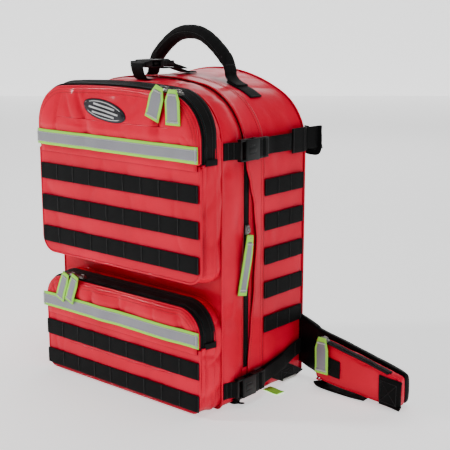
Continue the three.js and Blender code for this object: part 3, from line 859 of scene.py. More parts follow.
def main_compartment():
    zy, sy, by = ZIP_Y / MM, SEAM_Y / MM, BACK_Y / MM
    low = ZIP_LOW
    front = gusset(
        "front_fabric",
        [(sy * MM, around(sy)), ((zy - TAPE_OUT) * MM, around(zy - TAPE_OUT)),
         ((zy - TAPE_IN) * MM, around(zy - TAPE_IN))],
        [18, 3], RED, "front_section", wrinkle=1.7, bulge=1.8, seed=3, inner=LINING,
        keep=lambda x, z, y: y < (zy - TAPE_OUT) * MM or z < low)
    cushion("front_panel", arch(SEAM_ARCH, out=0.4), SEAM_Y, -1, RED, "front_section",
                    crown=0.0, edge=0.8, wrinkle=0.35, seed=4, rings=26, inner=LINING)
    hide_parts("front_shell")
    rear = gusset(
        "rear_fabric",
        [((zy + TAPE_IN) * MM, around(zy + TAPE_IN)), ((zy + TAPE_OUT) * MM, around(zy + TAPE_OUT)),
         (0.04, around(40)), (by * MM, around(by))],
        [3, 10, 16], RED, "rear_section", wrinkle=0.75, bulge=0.3, seed=6, inner=LINING,
        keep=lambda x, z, y: y > (zy + TAPE_OUT) * MM or z < low)
    cushion("rear_panel", arch(BACK_ARCH, out=0.3), BACK_Y, 1, PAD, "rear_section", crown=0.0,
            edge=0.8, wrinkle=0.3, seed=7, rings=20, inner=LINING)
    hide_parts("rear_shell")
    for name, y, body in (("seam_piping", sy - 0.6, "front_section"),
                          ("back_piping", by + 0.4, "rear_section")):
        line, _ = on_arch(around(min(by, y)), y * MM, 0.5 * MM)
        for p in line:
            p.z = max(p.z, 1.9 * MM)
        tube(name, line, 1.7 * MM, RED, body, closed=True, sides=8, up=(0, 1, 0))


def main_zip():
    zy = ZIP_Y / MM
    bottom = ZIP_LOW + 0.3 * MM
    for name, y0, y1, body, node, side in (
            ("main_tape_front", zy - TAPE_OUT - 1.5, zy - TAPE_IN, "front_section", "main_zip_front", -1),
            ("main_tape_rear", zy + TAPE_IN, zy + TAPE_OUT + 1.5, "rear_section", "main_zip_rear", 1)):
        stations = [(y0 * MM, arch(ZIP_ARCH, -1.0)), (y1 * MM, arch(ZIP_ARCH, -1.0))]
        tape = gusset(name, stations, [4], TAPE, body, wrinkle=0.1, bulge=0.0, thick=0.9, seed=11,
                      keep=lambda x, z, y: z > bottom)
        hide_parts(node)
        line, ups = opened(arch(ZIP_ARCH, -0.4), (zy + side * 0.45) * MM, 0.0, bottom)
        zip_teeth(f"{name}_teeth", line, ups, body, (0, 1, 0), side)
        seam = zy + side * (TAPE_OUT + 2.6)
        line, ups = opened(around(seam), seam * MM, 1.0 * MM, bottom)
        stitches(f"{name}_stitches", line, ups, RED_THREAD, body)


def free_edge(z):
    """Depth of the storm flap's free edge at a height, millimetres: it gapes beside the pulls."""
    places = [(40, -20), (57, -19), (120, -13), (180, -6), (250, -1), (300, -7), (335, -16),
              (362, -25), (380, -27)]
    if z >= places[-1][0]:
        return places[-1][1]
    for (z0, y0), (z1, y1) in zip(places, places[1:]):
        if z <= z1:
            return y0 + (y1 - y0) * ease(max(0.0, (z - z0) / (z1 - z0)))
    return -27


def storm_flap():
    """The cover over the main zip: sewn to the rear half, its free edge reaching over the front half."""
    rows = 10
    sewn = 21.0  # depth of the sewn edge, millimetres
    sewn_ring = around(sewn)
    n = len(sewn_ring)
    verts, uvs = [], []
    rings = {}

    def ring_at(y):
        """The outline at the nearest half millimetre of depth, and its outward directions."""
        key = round(y * 2)
        if key not in rings:
            rings[key] = around(key / 2), outward(around(key / 2))
        return rings[key]

    for r in range(rows + 1):
        t = r / rows
        for j in range(n):
            edge = free_edge(sewn_ring[j][1] / MM)
            y = sewn + (edge - sewn) * t
            ring, ways = ring_at(y)
            px, pz = ring[j]
            nx, nz = ways[j]
            gape = 1.0 + 3.2 * t ** 1.6 + 0.7 * wander((px, y * MM, pz), 14, 0.06) * t
            verts.append((px + nx * gape * MM, y * MM, pz + nz * gape * MM))
            uvs.append((px + pz, y * MM))
    faces = [quad for quad in ring_faces(rows, n) if verts[quad[0]][2] > ZIP_LOW - 4 * MM]
    flap = piece("storm_fabric", verts, faces, RED, None, uvs)
    drop_loose(flap)
    face_out(flap, Vector((0, 0, 0.22)))
    modifier(flap, "SOLIDIFY", thickness=1.5 * MM, offset=-1)
    apply_modifiers(flap)
    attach(flap, "rear_section")
    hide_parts("storm_flap")
    surface = Surface(flap)
    for name, y in (("storm_stitches_a", 13), ("storm_stitches_b", 19)):
        line, ups = opened(around(y), y * MM, 0.0, ZIP_LOW)
        line = [surface.drop(p, -u, 0.15 * MM) for p, u in zip(line, ups)]
        stitches(name, line, ups, RED_THREAD, "rear_section")
    line, ups = opened(around(0), 0, 0.0, ZIP_LOW)
    hem = [Vector((p.x, (free_edge(p.z / MM) + 4.5) * MM, p.z)) for p in line]
    hem = [surface.drop(p, -u, 0.15 * MM) for p, u in zip(hem, ups)]
    stitches("storm_hem_stitches", hem, ups, RED_THREAD, "rear_section")


# ---------------------------------------------------------------- pockets and flaps
def band_relief(hinge):
    """Keeps the fabric flat under the reflective band."""
    def relief(x, z):
        t = min(1.0, max(0.0, (z - hinge - 22) / 16))
        return -3.4 * (1 - ease(t))
    return relief


def pocket(which, hinge, body_shape, rim, seam, wall, lid, lid_relief):
    """A pocket: gusset, front wall, zip round its lid, and the lid, whose surface it returns."""
    py, back = POCKET_Y / MM, SEAM_Y / MM - 0.3
    deep = 28  # from the front edge to where the gusset is widest, millimetres
    mid = py + deep
    coil = py + 6.5  # the coil runs round the gusset, a little behind its front edge
    red = gusset(f"{which}_gusset", [(py * MM, body_shape), ((py + 9) * MM, mix(body_shape, rim, 0.36)),
                                     (mid * MM, rim), (back * MM, seam)],
                 [6, 10, 8], RED, "front_section", wrinkle=2.2, bulge=0.9, seed=len(which) * 3, inner=LINING,
                 keep=lambda x, z, y: z < (hinge + 3) * MM or y > (mid - 3) * MM)
    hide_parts(f"{which}_pocket")
    cushion(f"{which}_wall", wall, POCKET_Y, -1, RED, "front_section", crown=0.4, edge=1.2,
                    wrinkle=0.5, seed=len(which) * 5, inner=LINING)
    # Zip tapes either side of the coil.
    above = lambda x, z, y: z > (hinge + 1) * MM
    tape = gusset(f"{which}_tape_rear", [((coil + 1) * MM, mix(body_shape, rim, 0.3)), ((mid - 1) * MM, rim)],
                  [6],
                  TAPE, "front_section", wrinkle=0.25, bulge=0.6, thick=1.0, seed=23,
                  keep=above, out=1.3 * MM)
    gusset(f"{which}_tape_front",
           [((py - 0.5) * MM, body_shape), ((coil - 1) * MM, mix(body_shape, rim, 0.16))],
                        [4], TAPE, f"{which}_flap", wrinkle=0.1, bulge=0.2, thick=1.0, seed=23, keep=above,
                        out=1.0 * MM)
    for side, body in ((-1, f"{which}_flap"), (1, "front_section")):
        line, ups = opened(mix(body_shape, rim, 0.23), (coil + side * 0.45) * MM, 2.0 * MM, (hinge + 2) * MM)
        zip_teeth(f"{which}_teeth_{'flap' if side < 0 else 'pocket'}", line, ups, body, (0, 1, 0), side)
    on_tape = Surface(tape)
    for k, y in enumerate((mid - 4, mid - 9)):
        line, ups = opened(mix(body_shape, rim, (y - py) / deep), y * MM, 1.7 * MM, (hinge + 2) * MM)
        line = [on_tape.drop(p, -u, 0.15 * MM) for p, u in zip(line, ups)]
        stitches(f"{which}_tape_stitches_{k}", line, ups, BLACK_THREAD, "front_section")
    # A folded tab covers each lower end of the zip.
    for s, side in SIDES:
        across = [on_tape.drop(v(s * 200, y, hinge + 4), (-s, 0, 0), 2.2 * MM)
                  for y in (coil + 2, coil + 7, coil + 12, mid - 2)]
        across.insert(0, across[0] * 2 - across[1] + (across[1] - across[0]) * 0.4)
        strap(f"{which}_zip_end_{side}", smooth_line(across, 4), (s, 0, 0), 9 * MM, 1.2 * MM, TAPE,
              "front_section")
    # Piping round the lower front edge, and a seam at the back.
    line, _ = on_arch(body_shape, (py - 0.4) * MM, 0.2 * MM)
    n = len(line)
    half = [i for i in range(n // 2, -1, -1) if line[i].z < hinge * MM]
    other = [i for i in range(n - 1, n // 2, -1) if line[i].z < hinge * MM]
    run = [line[i] for i in half] + [line[i] for i in other]
    tube(f"{which}_piping", run, 1.9 * MM, RED, "front_section", sides=8, up=(0, 1, 0))
    line, _ = on_arch(seam, (back + 0.2) * MM, 0.2 * MM)
    for p in line:
        p.z = max(p.z, 1.6 * MM)
    tube(f"{which}_back_seam", line, 1.5 * MM, RED, "front_section", closed=True, sides=8, up=(0, 1, 0))
    # The lid.
    flap = cushion(f"{which}_lid", lid, (py - 0.5) * MM, -1, RED, f"{which}_flap", crown=4.2, edge=3.6,
                   wrinkle=2.4 if which == "upper" else 1.5, seed=31 + len(which), relief=lid_relief,
                   thick=1.6, inner=LINING, rings=44)
    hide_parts(f"{which}_flap")
    surface = Surface(flap)
    ways = outward(lid)
    for k, inset in enumerate((4.5, 9.0)):
        pts = [Vector((x - nx * inset * MM, (py - 6) * MM, z - nz * inset * MM))
               for (x, z), (nx, nz) in zip(lid, ways)]
        pts = [p for p in pts if p.z > (hinge + 30) * MM]
        stitches(f"{which}_lid_stitches_{k}", surface.line(pts, (0, 1, 0), 0.15 * MM), (0, -1, 0), RED_THREAD,
                 f"{which}_flap")
    rim_line = [Vector((x, (py - 1.2) * MM, z)) for x, z in lid if z > (hinge + 3) * MM]
    tube(f"{which}_lid_piping", rim_line, 1.6 * MM, RED, f"{which}_flap", sides=8, up=(0, 1, 0))
    # Fabric hinge under the band.
    w = 165 if which == "upper" else 163
    fold = [v(-w + 2 * w * i / 40, py - 2.6, hinge) for i in range(41)]
    hinge_strip = strap(f"{which}_hinge_fabric", fold, (0, -1, 0), 16 * MM, 1.2 * MM, RED)
    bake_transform(hinge_strip)
    return surface


def reflective_band(which, hinge, surface, body):
    """Lime webbing with a grey reflective strip sewn along its middle."""
    z = hinge + 15.1
    reach = 169
    pts = [v(-reach + 2 * reach * i / 90, DROP_Y, z) for i in range(91)]
    raw = [min(surface.drop(p + Vector((0, 0, dz * MM)), (0, 1, 0)).y for dz in (-10, -4, 0, 5, 10))
           for p in pts]
    # Past the lid's ends a drop finds nothing near, so those places take the lid's usual depth.
    raw = [max(y, -0.1265) if y < -0.118 else -0.1225 for y in raw]
    lows = [sum(raw[max(0, i - 3):i + 4]) / len(raw[max(0, i - 3):i + 4]) for i in range(91)]
    line = [Vector((p.x, y - 1.7 * MM, p.z)) for p, y in zip(pts, lows)]
    base = strap(f"{which}_band_lime", line, (0, -1, 0), 24 * MM, 1.6 * MM, LIME, body)
    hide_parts(f"{which}_band")
    for k, dz in enumerate((-9.3, 9.3)):
        edge = [p + Vector((0, -0.75 * MM, dz * MM)) for p in line]
        strap(f"{which}_band_edge_{k}", edge, (0, -1, 0), 3.2 * MM, 0.8 * MM, LIME, body)
    grey = [p + Vector((0, -1.15 * MM, 0)) for p in line]
    strap(f"{which}_band_grey", grey, (0, -1, 0), 15.6 * MM, 0.8 * MM, SILVER, body)
    for k, dz in enumerate((-6.9, 6.9)):
        row = [p + Vector((0, -1.6 * MM, dz * MM)) for p in line]
        stitches(f"{which}_band_stitches_{k}", row, (0, -1, 0), WHITE_THREAD, body)
    tacks = []
    for x in (0, len(line) - 1):
        inset = 3 if x == 0 else -3
        p = line[x] + Vector((inset * MM, -1.3 * MM, 0))
        bar_tack(tacks, p, Vector((0, 0, 1)), Vector((0, -1, 0)), 21 * MM)
    beads(f"{which}_band_tacks", tacks, TACK, WHITE_THREAD, body)


def ladder(name, body, place, heights, tacks, node, bulge=0.75):
    """Rows of webbing tacked at even places. place(u, z, lift) gives a point, u along the row in mm."""
    wide = 25.4
    placed = []
    up = (place(0, 0, 1) - place(0, 0, 0)).normalized()
    first = None
    for r, z in enumerate(heights):
        pts, n = [], 8 * (len(tacks) - 1)
        for i in range(n + 1):
            k = min(i // 8, len(tacks) - 2)
            t = (i - k * 8) / 8
            u = tacks[k] + (tacks[k + 1] - tacks[k]) * t
            puff = bulge * math.sin(math.pi * t) ** 0.8 * (0.75 + 0.4 * wander((u * MM, z * MM, r), 41, 0.05))
            pts.append(place(u, z, 0.9 + puff))
        row = strap(f"{name}_row_{r}", pts, up, wide * MM, 1.7 * MM, BLACK, body)
        first = first or row
        for u in tacks:
            bar_tack(placed, place(u, z, 2.0), Vector((0, 0, 1)), up, (wide - 2) * MM)
    beads(f"{name}_tacks", placed, TACK, BLACK_THREAD, body)
    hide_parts(node)


def badge(surface):
    """A plain oval patch with a pale rim and three bars, in place of a printed mark."""
    centre, tilt = Vector((-13 * MM, 0, 436 * MM)), math.radians(10)
    half_w, half_h = 46 * MM, 15 * MM

    def spot(x, z):
        """A place of the tilted badge, in front of the lid."""
        return centre + Vector((x * math.cos(tilt) + z * math.sin(tilt), DROP_Y * MM,
                                z * math.cos(tilt) - x * math.sin(tilt)))

    def oval(name, a, b, lift, thick, mat):
        rings, n = 8, 64
        verts = []
        for i in range(rings + 1):
            r = i / rings
            for j in range(n):
                t = 2 * math.pi * j / n
                up = lift + (thick if r < 0.97 else thick * 0.4)
                verts.append(surface.drop(spot(a * r * math.cos(t), b * r * math.sin(t)), (0, 1, 0), up))
        obj = piece(name, verts, ring_faces(rings, n), mat)
        weld(obj, 0.01 * MM)
        face_out(obj, centre + Vector((0, 0.1, 0)))
        modifier(obj, "SOLIDIFY", thickness=thick, offset=-1)
        apply_modifiers(obj)
        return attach(obj, "upper_flap")

    oval("badge_base", half_w, half_h, 0.0, 1.5 * MM, BADGE_DARK)
    oval("badge_rim", half_w * 0.94, half_h * 0.88, 0.5 * MM, 1.3 * MM, BADGE_PALE)
    oval("badge_face", half_w * 0.9, half_h * 0.78, 0.9 * MM, 1.3 * MM, BADGE_DARK)
    for k, (z, half) in enumerate(((6, 22), (0, 30), (-6, 22))):
        run = [spot((-half + 2 * half * i / 16) * MM, z * MM) for i in range(17)]
        pts = surface.line(run, (0, 1, 0), 2.5 * MM)
        bar = strap(f"badge_bar_{k}", pts, (0, -1, 0), 2.6 * MM, 0.7 * MM, BADGE_PALE, "upper_flap")


def pockets():
    low = 197
    body_shape = arch(FLAP_ARCH, low=low + 4, foot=24)
    rim = arch(RIM_ARCH, low=low, foot=24)
    seam = arch(SEAM_ARCH, low=low, foot=24)
    hinge = UPPER_HINGE / MM
    wall = slab(170, low + 4, hinge, 2, 24)
    lid = arch(FLAP_ARCH, low=hinge + 0.3, foot=4)
    upper = pocket("upper", hinge, body_shape, rim, seam, wall, lid, band_relief(hinge))
    hinge = LOWER_HINGE / MM
    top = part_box("lower_pocket")[1].z / MM
    body_shape = slab(166, 6, top - 8, 38, 15)
    rim = slab(171, 1, top, 48, 20)
    wall = slab(166, 6, hinge, 2, 15)
    lid = slab(166, hinge + 0.3, top - 8, 38, 4)
    lower = pocket("lower", hinge, body_shape, rim, rim, wall, lid, band_relief(hinge))
    reflective_band("upper", UPPER_HINGE / MM, upper, "upper_flap")
    reflective_band("lower", LOWER_HINGE / MM, lower, "lower_flap")
    badge(upper)
    py = POCKET_Y / MM - 1.9
    tacks = [-166 + 332 * i / 9 for i in range(10)]
    for which, node, z0 in (("upper", "upper_molle", (344, 293, 242)), ("lower", "lower_molle", (85, 35))):
        ladder(f"{which}_webbing", "front_section", lambda u, z, lift: v(u, py - lift, z),
               [z - 12.5 for z in z0], tacks, node)
    for s, side in SIDES:
        face = HALF / MM + 1.2
        tops = (335, 282, 229, 176, 122)
        spots = [22, 53, 84, 115]
        ladder(f"side_webbing_{side}", "rear_section",
               lambda u, z, lift: v(s * (face + lift), u, z), [z - 12.5 for z in tops], spots,
               f"side_molle_{side}", bulge=0.8)


main_compartment()
main_zip()
storm_flap()
pockets()


# ---------------------------------------------------------------- sliders and pulls
def moved(place, pts):
    return [place @ p for p in pts]


def slider(name, place, body):
    """A cast slider, in its own axes: the zip along X, its face up, its front edge at y = 0."""
    half, deep, thick, top = 7, 9, 3, 6
    parts = [((-half, 0.2, -0.6), (half, deep - 0.6, 0.9), 0.5),
             ((-half + 0.6, 0.6, 1.6), (half - 1.2, deep - 1.2, thick), 0.8),
             ((-half + 0.3, deep / 2 - 1.2, 0.2), (-half + 2.6, deep / 2 + 1.2, 2.6), 0.4),
             ((-3.6, deep / 2 - 1.1, thick - 0.6), (-2.2, deep / 2 + 1.1, top - 0.6), 0.4),
             ((2.2, deep / 2 - 1.1, thick - 0.6), (3.6, deep / 2 + 1.1, top - 0.6), 0.4),
             ((-3.6, deep / 2 - 1.1, top - 1.3), (3.6, deep / 2 + 1.1, top), 0.5)]
    made = blocks(f"{name}_metal", parts, STEEL, body, place)
    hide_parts(name)
    return made


def pull(name, place, reach, length, wide, lean, body):
    """A folded lime pull with a grey stripe, on a wire link. Its own axes: hinge at the origin."""
    turn = Matrix.Rotation(math.radians(lean), 4, "Y")
    neck, share = 7.0, 0.32
    top_z, low_z = 1.0, -length
    steps = 26
    line, widths = [], []
    for i in range(steps + 1):
        t = i / steps
        z = top_z + (low_z - top_z) * t
        w = neck * 2 + (wide - neck * 2) * min(1.0, t / share) if wide > neck * 2 else wide
        bow = 0.9 * math.sin(math.pi * t) + 0.35 * math.sin(7 * t + lean)
        line.append(Vector((0, -reach - 1.0 - bow, z)) * MM)
        widths.append(w * MM)
    rot = place.to_3x3()
    turned = rot @ turn.to_3x3()
    face = (rot @ Vector((0, -1, 0))).normalized()
    line = moved(place @ turn, line)
    base = strap(f"{name}_web", line, face, widths, 2.0 * MM, LIME, body)
    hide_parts(name)
    for sign, tag in ((1, "front"), (-1, "back")):
        inner = [p + face * (sign * 1.15 * MM) for p in line[3:-1]]
        strip = [w - 7.5 * MM if w > 12 * MM else w * 0.45 for w in widths[3:-1]]
        strap(f"{name}_stripe_{tag}", inner, face, strip, 0.5 * MM, SILVER, body)
    low_edge = line[-1] + (line[-1] - line[-2]).normalized() * 0.2 * MM
    hem = [low_edge + (turned @ Vector((x, 0, 0))) * wide * MM for x in (-0.49, -0.25, 0, 0.25, 0.49)]
    tube(f"{name}_hem", hem, 1.35 * MM, LIME, body, sides=8)
    tacks = []
    side = (turned @ Vector((1, 0, 0))).normalized()
    for share_z in (0.16, 0.93):
        i = int(share_z * steps)
        bar_tack(tacks, line[i] + face * 1.5 * MM, side, face, widths[i] * 0.8)
    beads(f"{name}_tacks", tacks, TACK, WHITE_THREAD, body)
    # The wire link: from the slider's bridge into the pull's folded top.
    wire = [(0, 1.2, -1.0), (1.9, 0.2, -0.4), (2.5, -reach * 0.5, 0.6), (2.4, -reach, -0.6),
            (1.6, -reach - 1.3, -3.2),
            (0, -reach - 1.6, -4.0), (-1.6, -reach - 1.3, -3.2), (-2.4, -reach, -0.6),
            (-2.5, -reach * 0.5, 0.6),
            (-1.9, 0.2, -0.4)]
    ring = [place @ (Vector(p) * MM) for p in wire]
    tube(f"{name}_link", smooth_line(ring, 5, closed=True), 0.8 * MM, STEEL, body, closed=True, sides=8)


def spin(axis, degrees):
    return Matrix.Rotation(math.radians(degrees), 4, axis)


def shift(x, y, z):
    return Matrix.Translation(v(x, y, z))


FLIPS = {1: Matrix.Identity(4), -1: Matrix.Diagonal((-1, 1, 1, 1))}  # the left side mirrors the right


def pocket_zips():
    """Two sliders on each lid. A pull hangs a little ahead of its slider and above the zip's line."""
    slider_y, ahead, up, ride = POCKET_Y / MM + 2, 1, 6.3, 3.6
    crown_z = FLAP_ARCH["top"] - FLAP_ARCH["crown"]
    cx = FLAP_ARCH["w"] - FLAP_ARCH["corner"]
    cz = crown_z + math.sqrt((FLAP_ARCH["crown"] - FLAP_ARCH["corner"]) ** 2 - cx ** 2)
    for side, x, z, r, turn, lean in (("left", 0, crown_z, FLAP_ARCH["crown"] + ride, 3.85, 19),
                                      ("right", cx, cz, FLAP_ARCH["corner"] + ride, 15, 0)):
        place = shift(x, slider_y, z) @ spin("Y", turn) @ shift(0, 0, r)
        slider(f"upper_{side}_slider", place, f"upper_{side}_slider")
        a = math.radians(turn)
        hinge = shift(x + (r + up) * math.sin(a), slider_y - ahead, z + (r + up) * math.cos(a))
        pull(f"upper_{side}_pull", hinge, 9, 47, 27, lean, f"upper_{side}_pull")
    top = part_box("lower_pocket")[1].z / MM - 4
    for side, x in (("left", -110), ("right", -88)):
        slider(f"lower_{side}_slider", shift(x, slider_y, top), f"lower_{side}_slider")
        pull(f"lower_{side}_pull", shift(x, slider_y - ahead, top + up), 9, 47, 19, 21, f"lower_{side}_pull")


def side_zips():
    """The main zip's slider and the wing pouch's slider on each side."""
    face = HALF / MM + 0.4
    for s, side in SIDES:
        flip = FLIPS[s]
        place = flip @ shift(face, ZIP_Y / MM + 0.5, 266) @ spin("Y", 90) @ shift(0, -4.5, 0)
        slider(f"main_slider_{side}", place, f"main_slider_{side}")
        place = flip @ shift(face + 4.5, ZIP_Y / MM, 258) @ spin("Z", 90)
        pull(f"main_pull_{side}", place, 1.5, 88, 19, 12, f"main_pull_{side}")
        slope = math.degrees(math.atan2(24, 118))  # the pouch's top falls 24 mm over 118 mm
        place = flip @ shift(235, 92.7, 79) @ spin("Y", slope)
        slider(f"wing_slider_{side}", place, f"wing_slider_{side}")
        pull(f"wing_pull_{side}", flip @ shift(236.5, 91.7, 79 + 6.3), 5, 56, 24, 0, f"wing_pull_{side}")


# ---------------------------------------------------------------- buckles and their webbing
def socket_parts():
    """A side-release socket: mouth at y = 0, base at z = 0; windows at the sides show the prongs."""
    half, long, thick = 16, 40, 11.5
    return [((-half + 0.6, -long + 11, 0), (half - 0.6, 0, 2.1), 0.9),
            ((-half + 0.6, -long + 11, thick - 2.1), (half - 0.6, 0, thick), 0.9),
            ((-half, -6.5, 0.6), (half, -0.3, 2.4), 0.7),
            ((-half, -6.5, thick - 2.4), (half, -0.3, thick - 0.6), 0.7),
            ((-half, -6.5, 0.9), (-half + 2.6, -0.3, thick - 0.9), 0.8),
            ((half - 2.6, -6.5, 0.9), (half, -0.3, thick - 0.9), 0.8),
            ((-half, -long + 10, 0.4), (half, -long + 15.5, thick - 0.4), 1.4),
            ((-half, -long, 1.2), (-half + 3.4, -long + 12, thick - 1.6), 1.2),
            ((half - 3.4, -long, 1.2), (half, -long + 12, thick - 1.6), 1.2),
            ((-half, -long, 2.0), (half, -long + 3.6, thick - 2.6), 1.2),
            ((-3.4, -24, thick - 0.5), (3.4, -8, thick + 0.5), 0.4),
            ((-7.5, -24, thick - 0.5), (-5.2, -12, thick + 0.35), 0.3),
            ((5.2, -24, thick - 0.5), (7.5, -12, thick + 0.35), 0.3)]


def plug_parts():
    """Its plug: a bar for the webbing inside the mouth end, and two prongs that reach into the socket."""
    half, thick = 16, 11.5
    parts = [((1 - half, 0.4, 0.8), (half - 1, 8.5, thick - 1.2), 1.5),
             ((1 - half, 8, 1.6), (3.6 - half, 24, thick - 2.4), 1.1),
             ((half - 3.6, 8, 1.6), (half - 1, 24, thick - 2.4), 1.1),
             ((1 - half, 20.4, 1.8), (half - 1, 24, thick - 3.2), 1.3),
             ((1 - half, 13.2, 4.4), (half - 1, 16.2, thick - 1.6), 1.0)]
    for k in range(4):
        parts.append(((4 - half, 1.6 + 1.7 * k, thick - 1.5), (half - 4, 2.5 + 1.7 * k, thick - 0.75), 0.3))
    for s in (-1, 1):
        lo, hi = sorted((s * 9.4, s * 12.2))
        parts.append(((lo, -13.0, 3.4), (hi, 1.0, thick - 3.4), 0.8))
        lo, hi = sorted((s * 11.0, s * 13.0))
        parts.append(((lo, -17.0, 3.0), (hi, -8.2, thick - 3.0), 0.9))
    parts.append(((-2.2, -15, 3.8), (2.2, 1, thick - 3.8), 0.8))
    return parts


def buckle(tag, suffix, place):
    """Both halves of a buckle: the socket stays on the front half, the plug slides out of it."""
    for part, shapes, body in (("socket", socket_parts(), "front_section"),
                               ("plug", plug_parts(), f"{tag}_plug{suffix}")):
        made = blocks(f"{tag}_{part}_body{suffix}", shapes, PLASTIC, body, place)
        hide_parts(f"{tag}_{part}{suffix}")


def webbing_piece(name, place, path, body, width=25.0, up=(0, 0, 1), thick=1.7, tacks=()):
    """Webbing along a path given in a buckle's own axes, with bar tacks at shares of its length."""
    line = moved(place, smooth_line([Vector(p) * MM for p in path], 6))
    side = (place.to_3x3() @ Vector((1, 0, 0))).normalized()
    along = tangents(line)
    ups = [side.cross(a).normalized() for a in along]
    wanted = (place.to_3x3() @ Vector(up)).normalized()
    if sum(u.dot(wanted) for u in ups) < 0:
        ups = [-u for u in ups]
    made = strap(name, line, ups, width * MM, thick * MM, BLACK, body)
    placed = []
    for share in tacks:
        i = min(len(line) - 1, int(share * (len(line) - 1)))
        bar_tack(placed, line[i] + ups[i] * (thick / 2 + 0.2) * MM, side, ups[i], (width - 3) * MM)
    if placed:
        beads(f"{name}_tacks", placed, TACK, BLACK_THREAD, body)
    return made


def box_stitch(name, corner, u_dir, v_dir, w, h, up, body):
    """A sewn rectangle with a cross."""
    a, b = Vector(u_dir).normalized() * w * MM, Vector(v_dir).normalized() * h * MM
    c = [corner, corner + a, corner + a + b, corner + b]
    loop = []
    for p, q in zip(c, c[1:] + c[:1]):
        loop += [p.lerp(q, t / 6) for t in range(6)]
    stitches(name, loop, up, BLACK_THREAD, body, 2.4 * MM, closed=True)
    for k, (p, q) in enumerate(((c[0], c[2]), (c[1], c[3]))):
        stitches(f"{name}_{k}", [p.lerp(q, t / 6) for t in range(7)], up, BLACK_THREAD, body, 2.4 * MM)


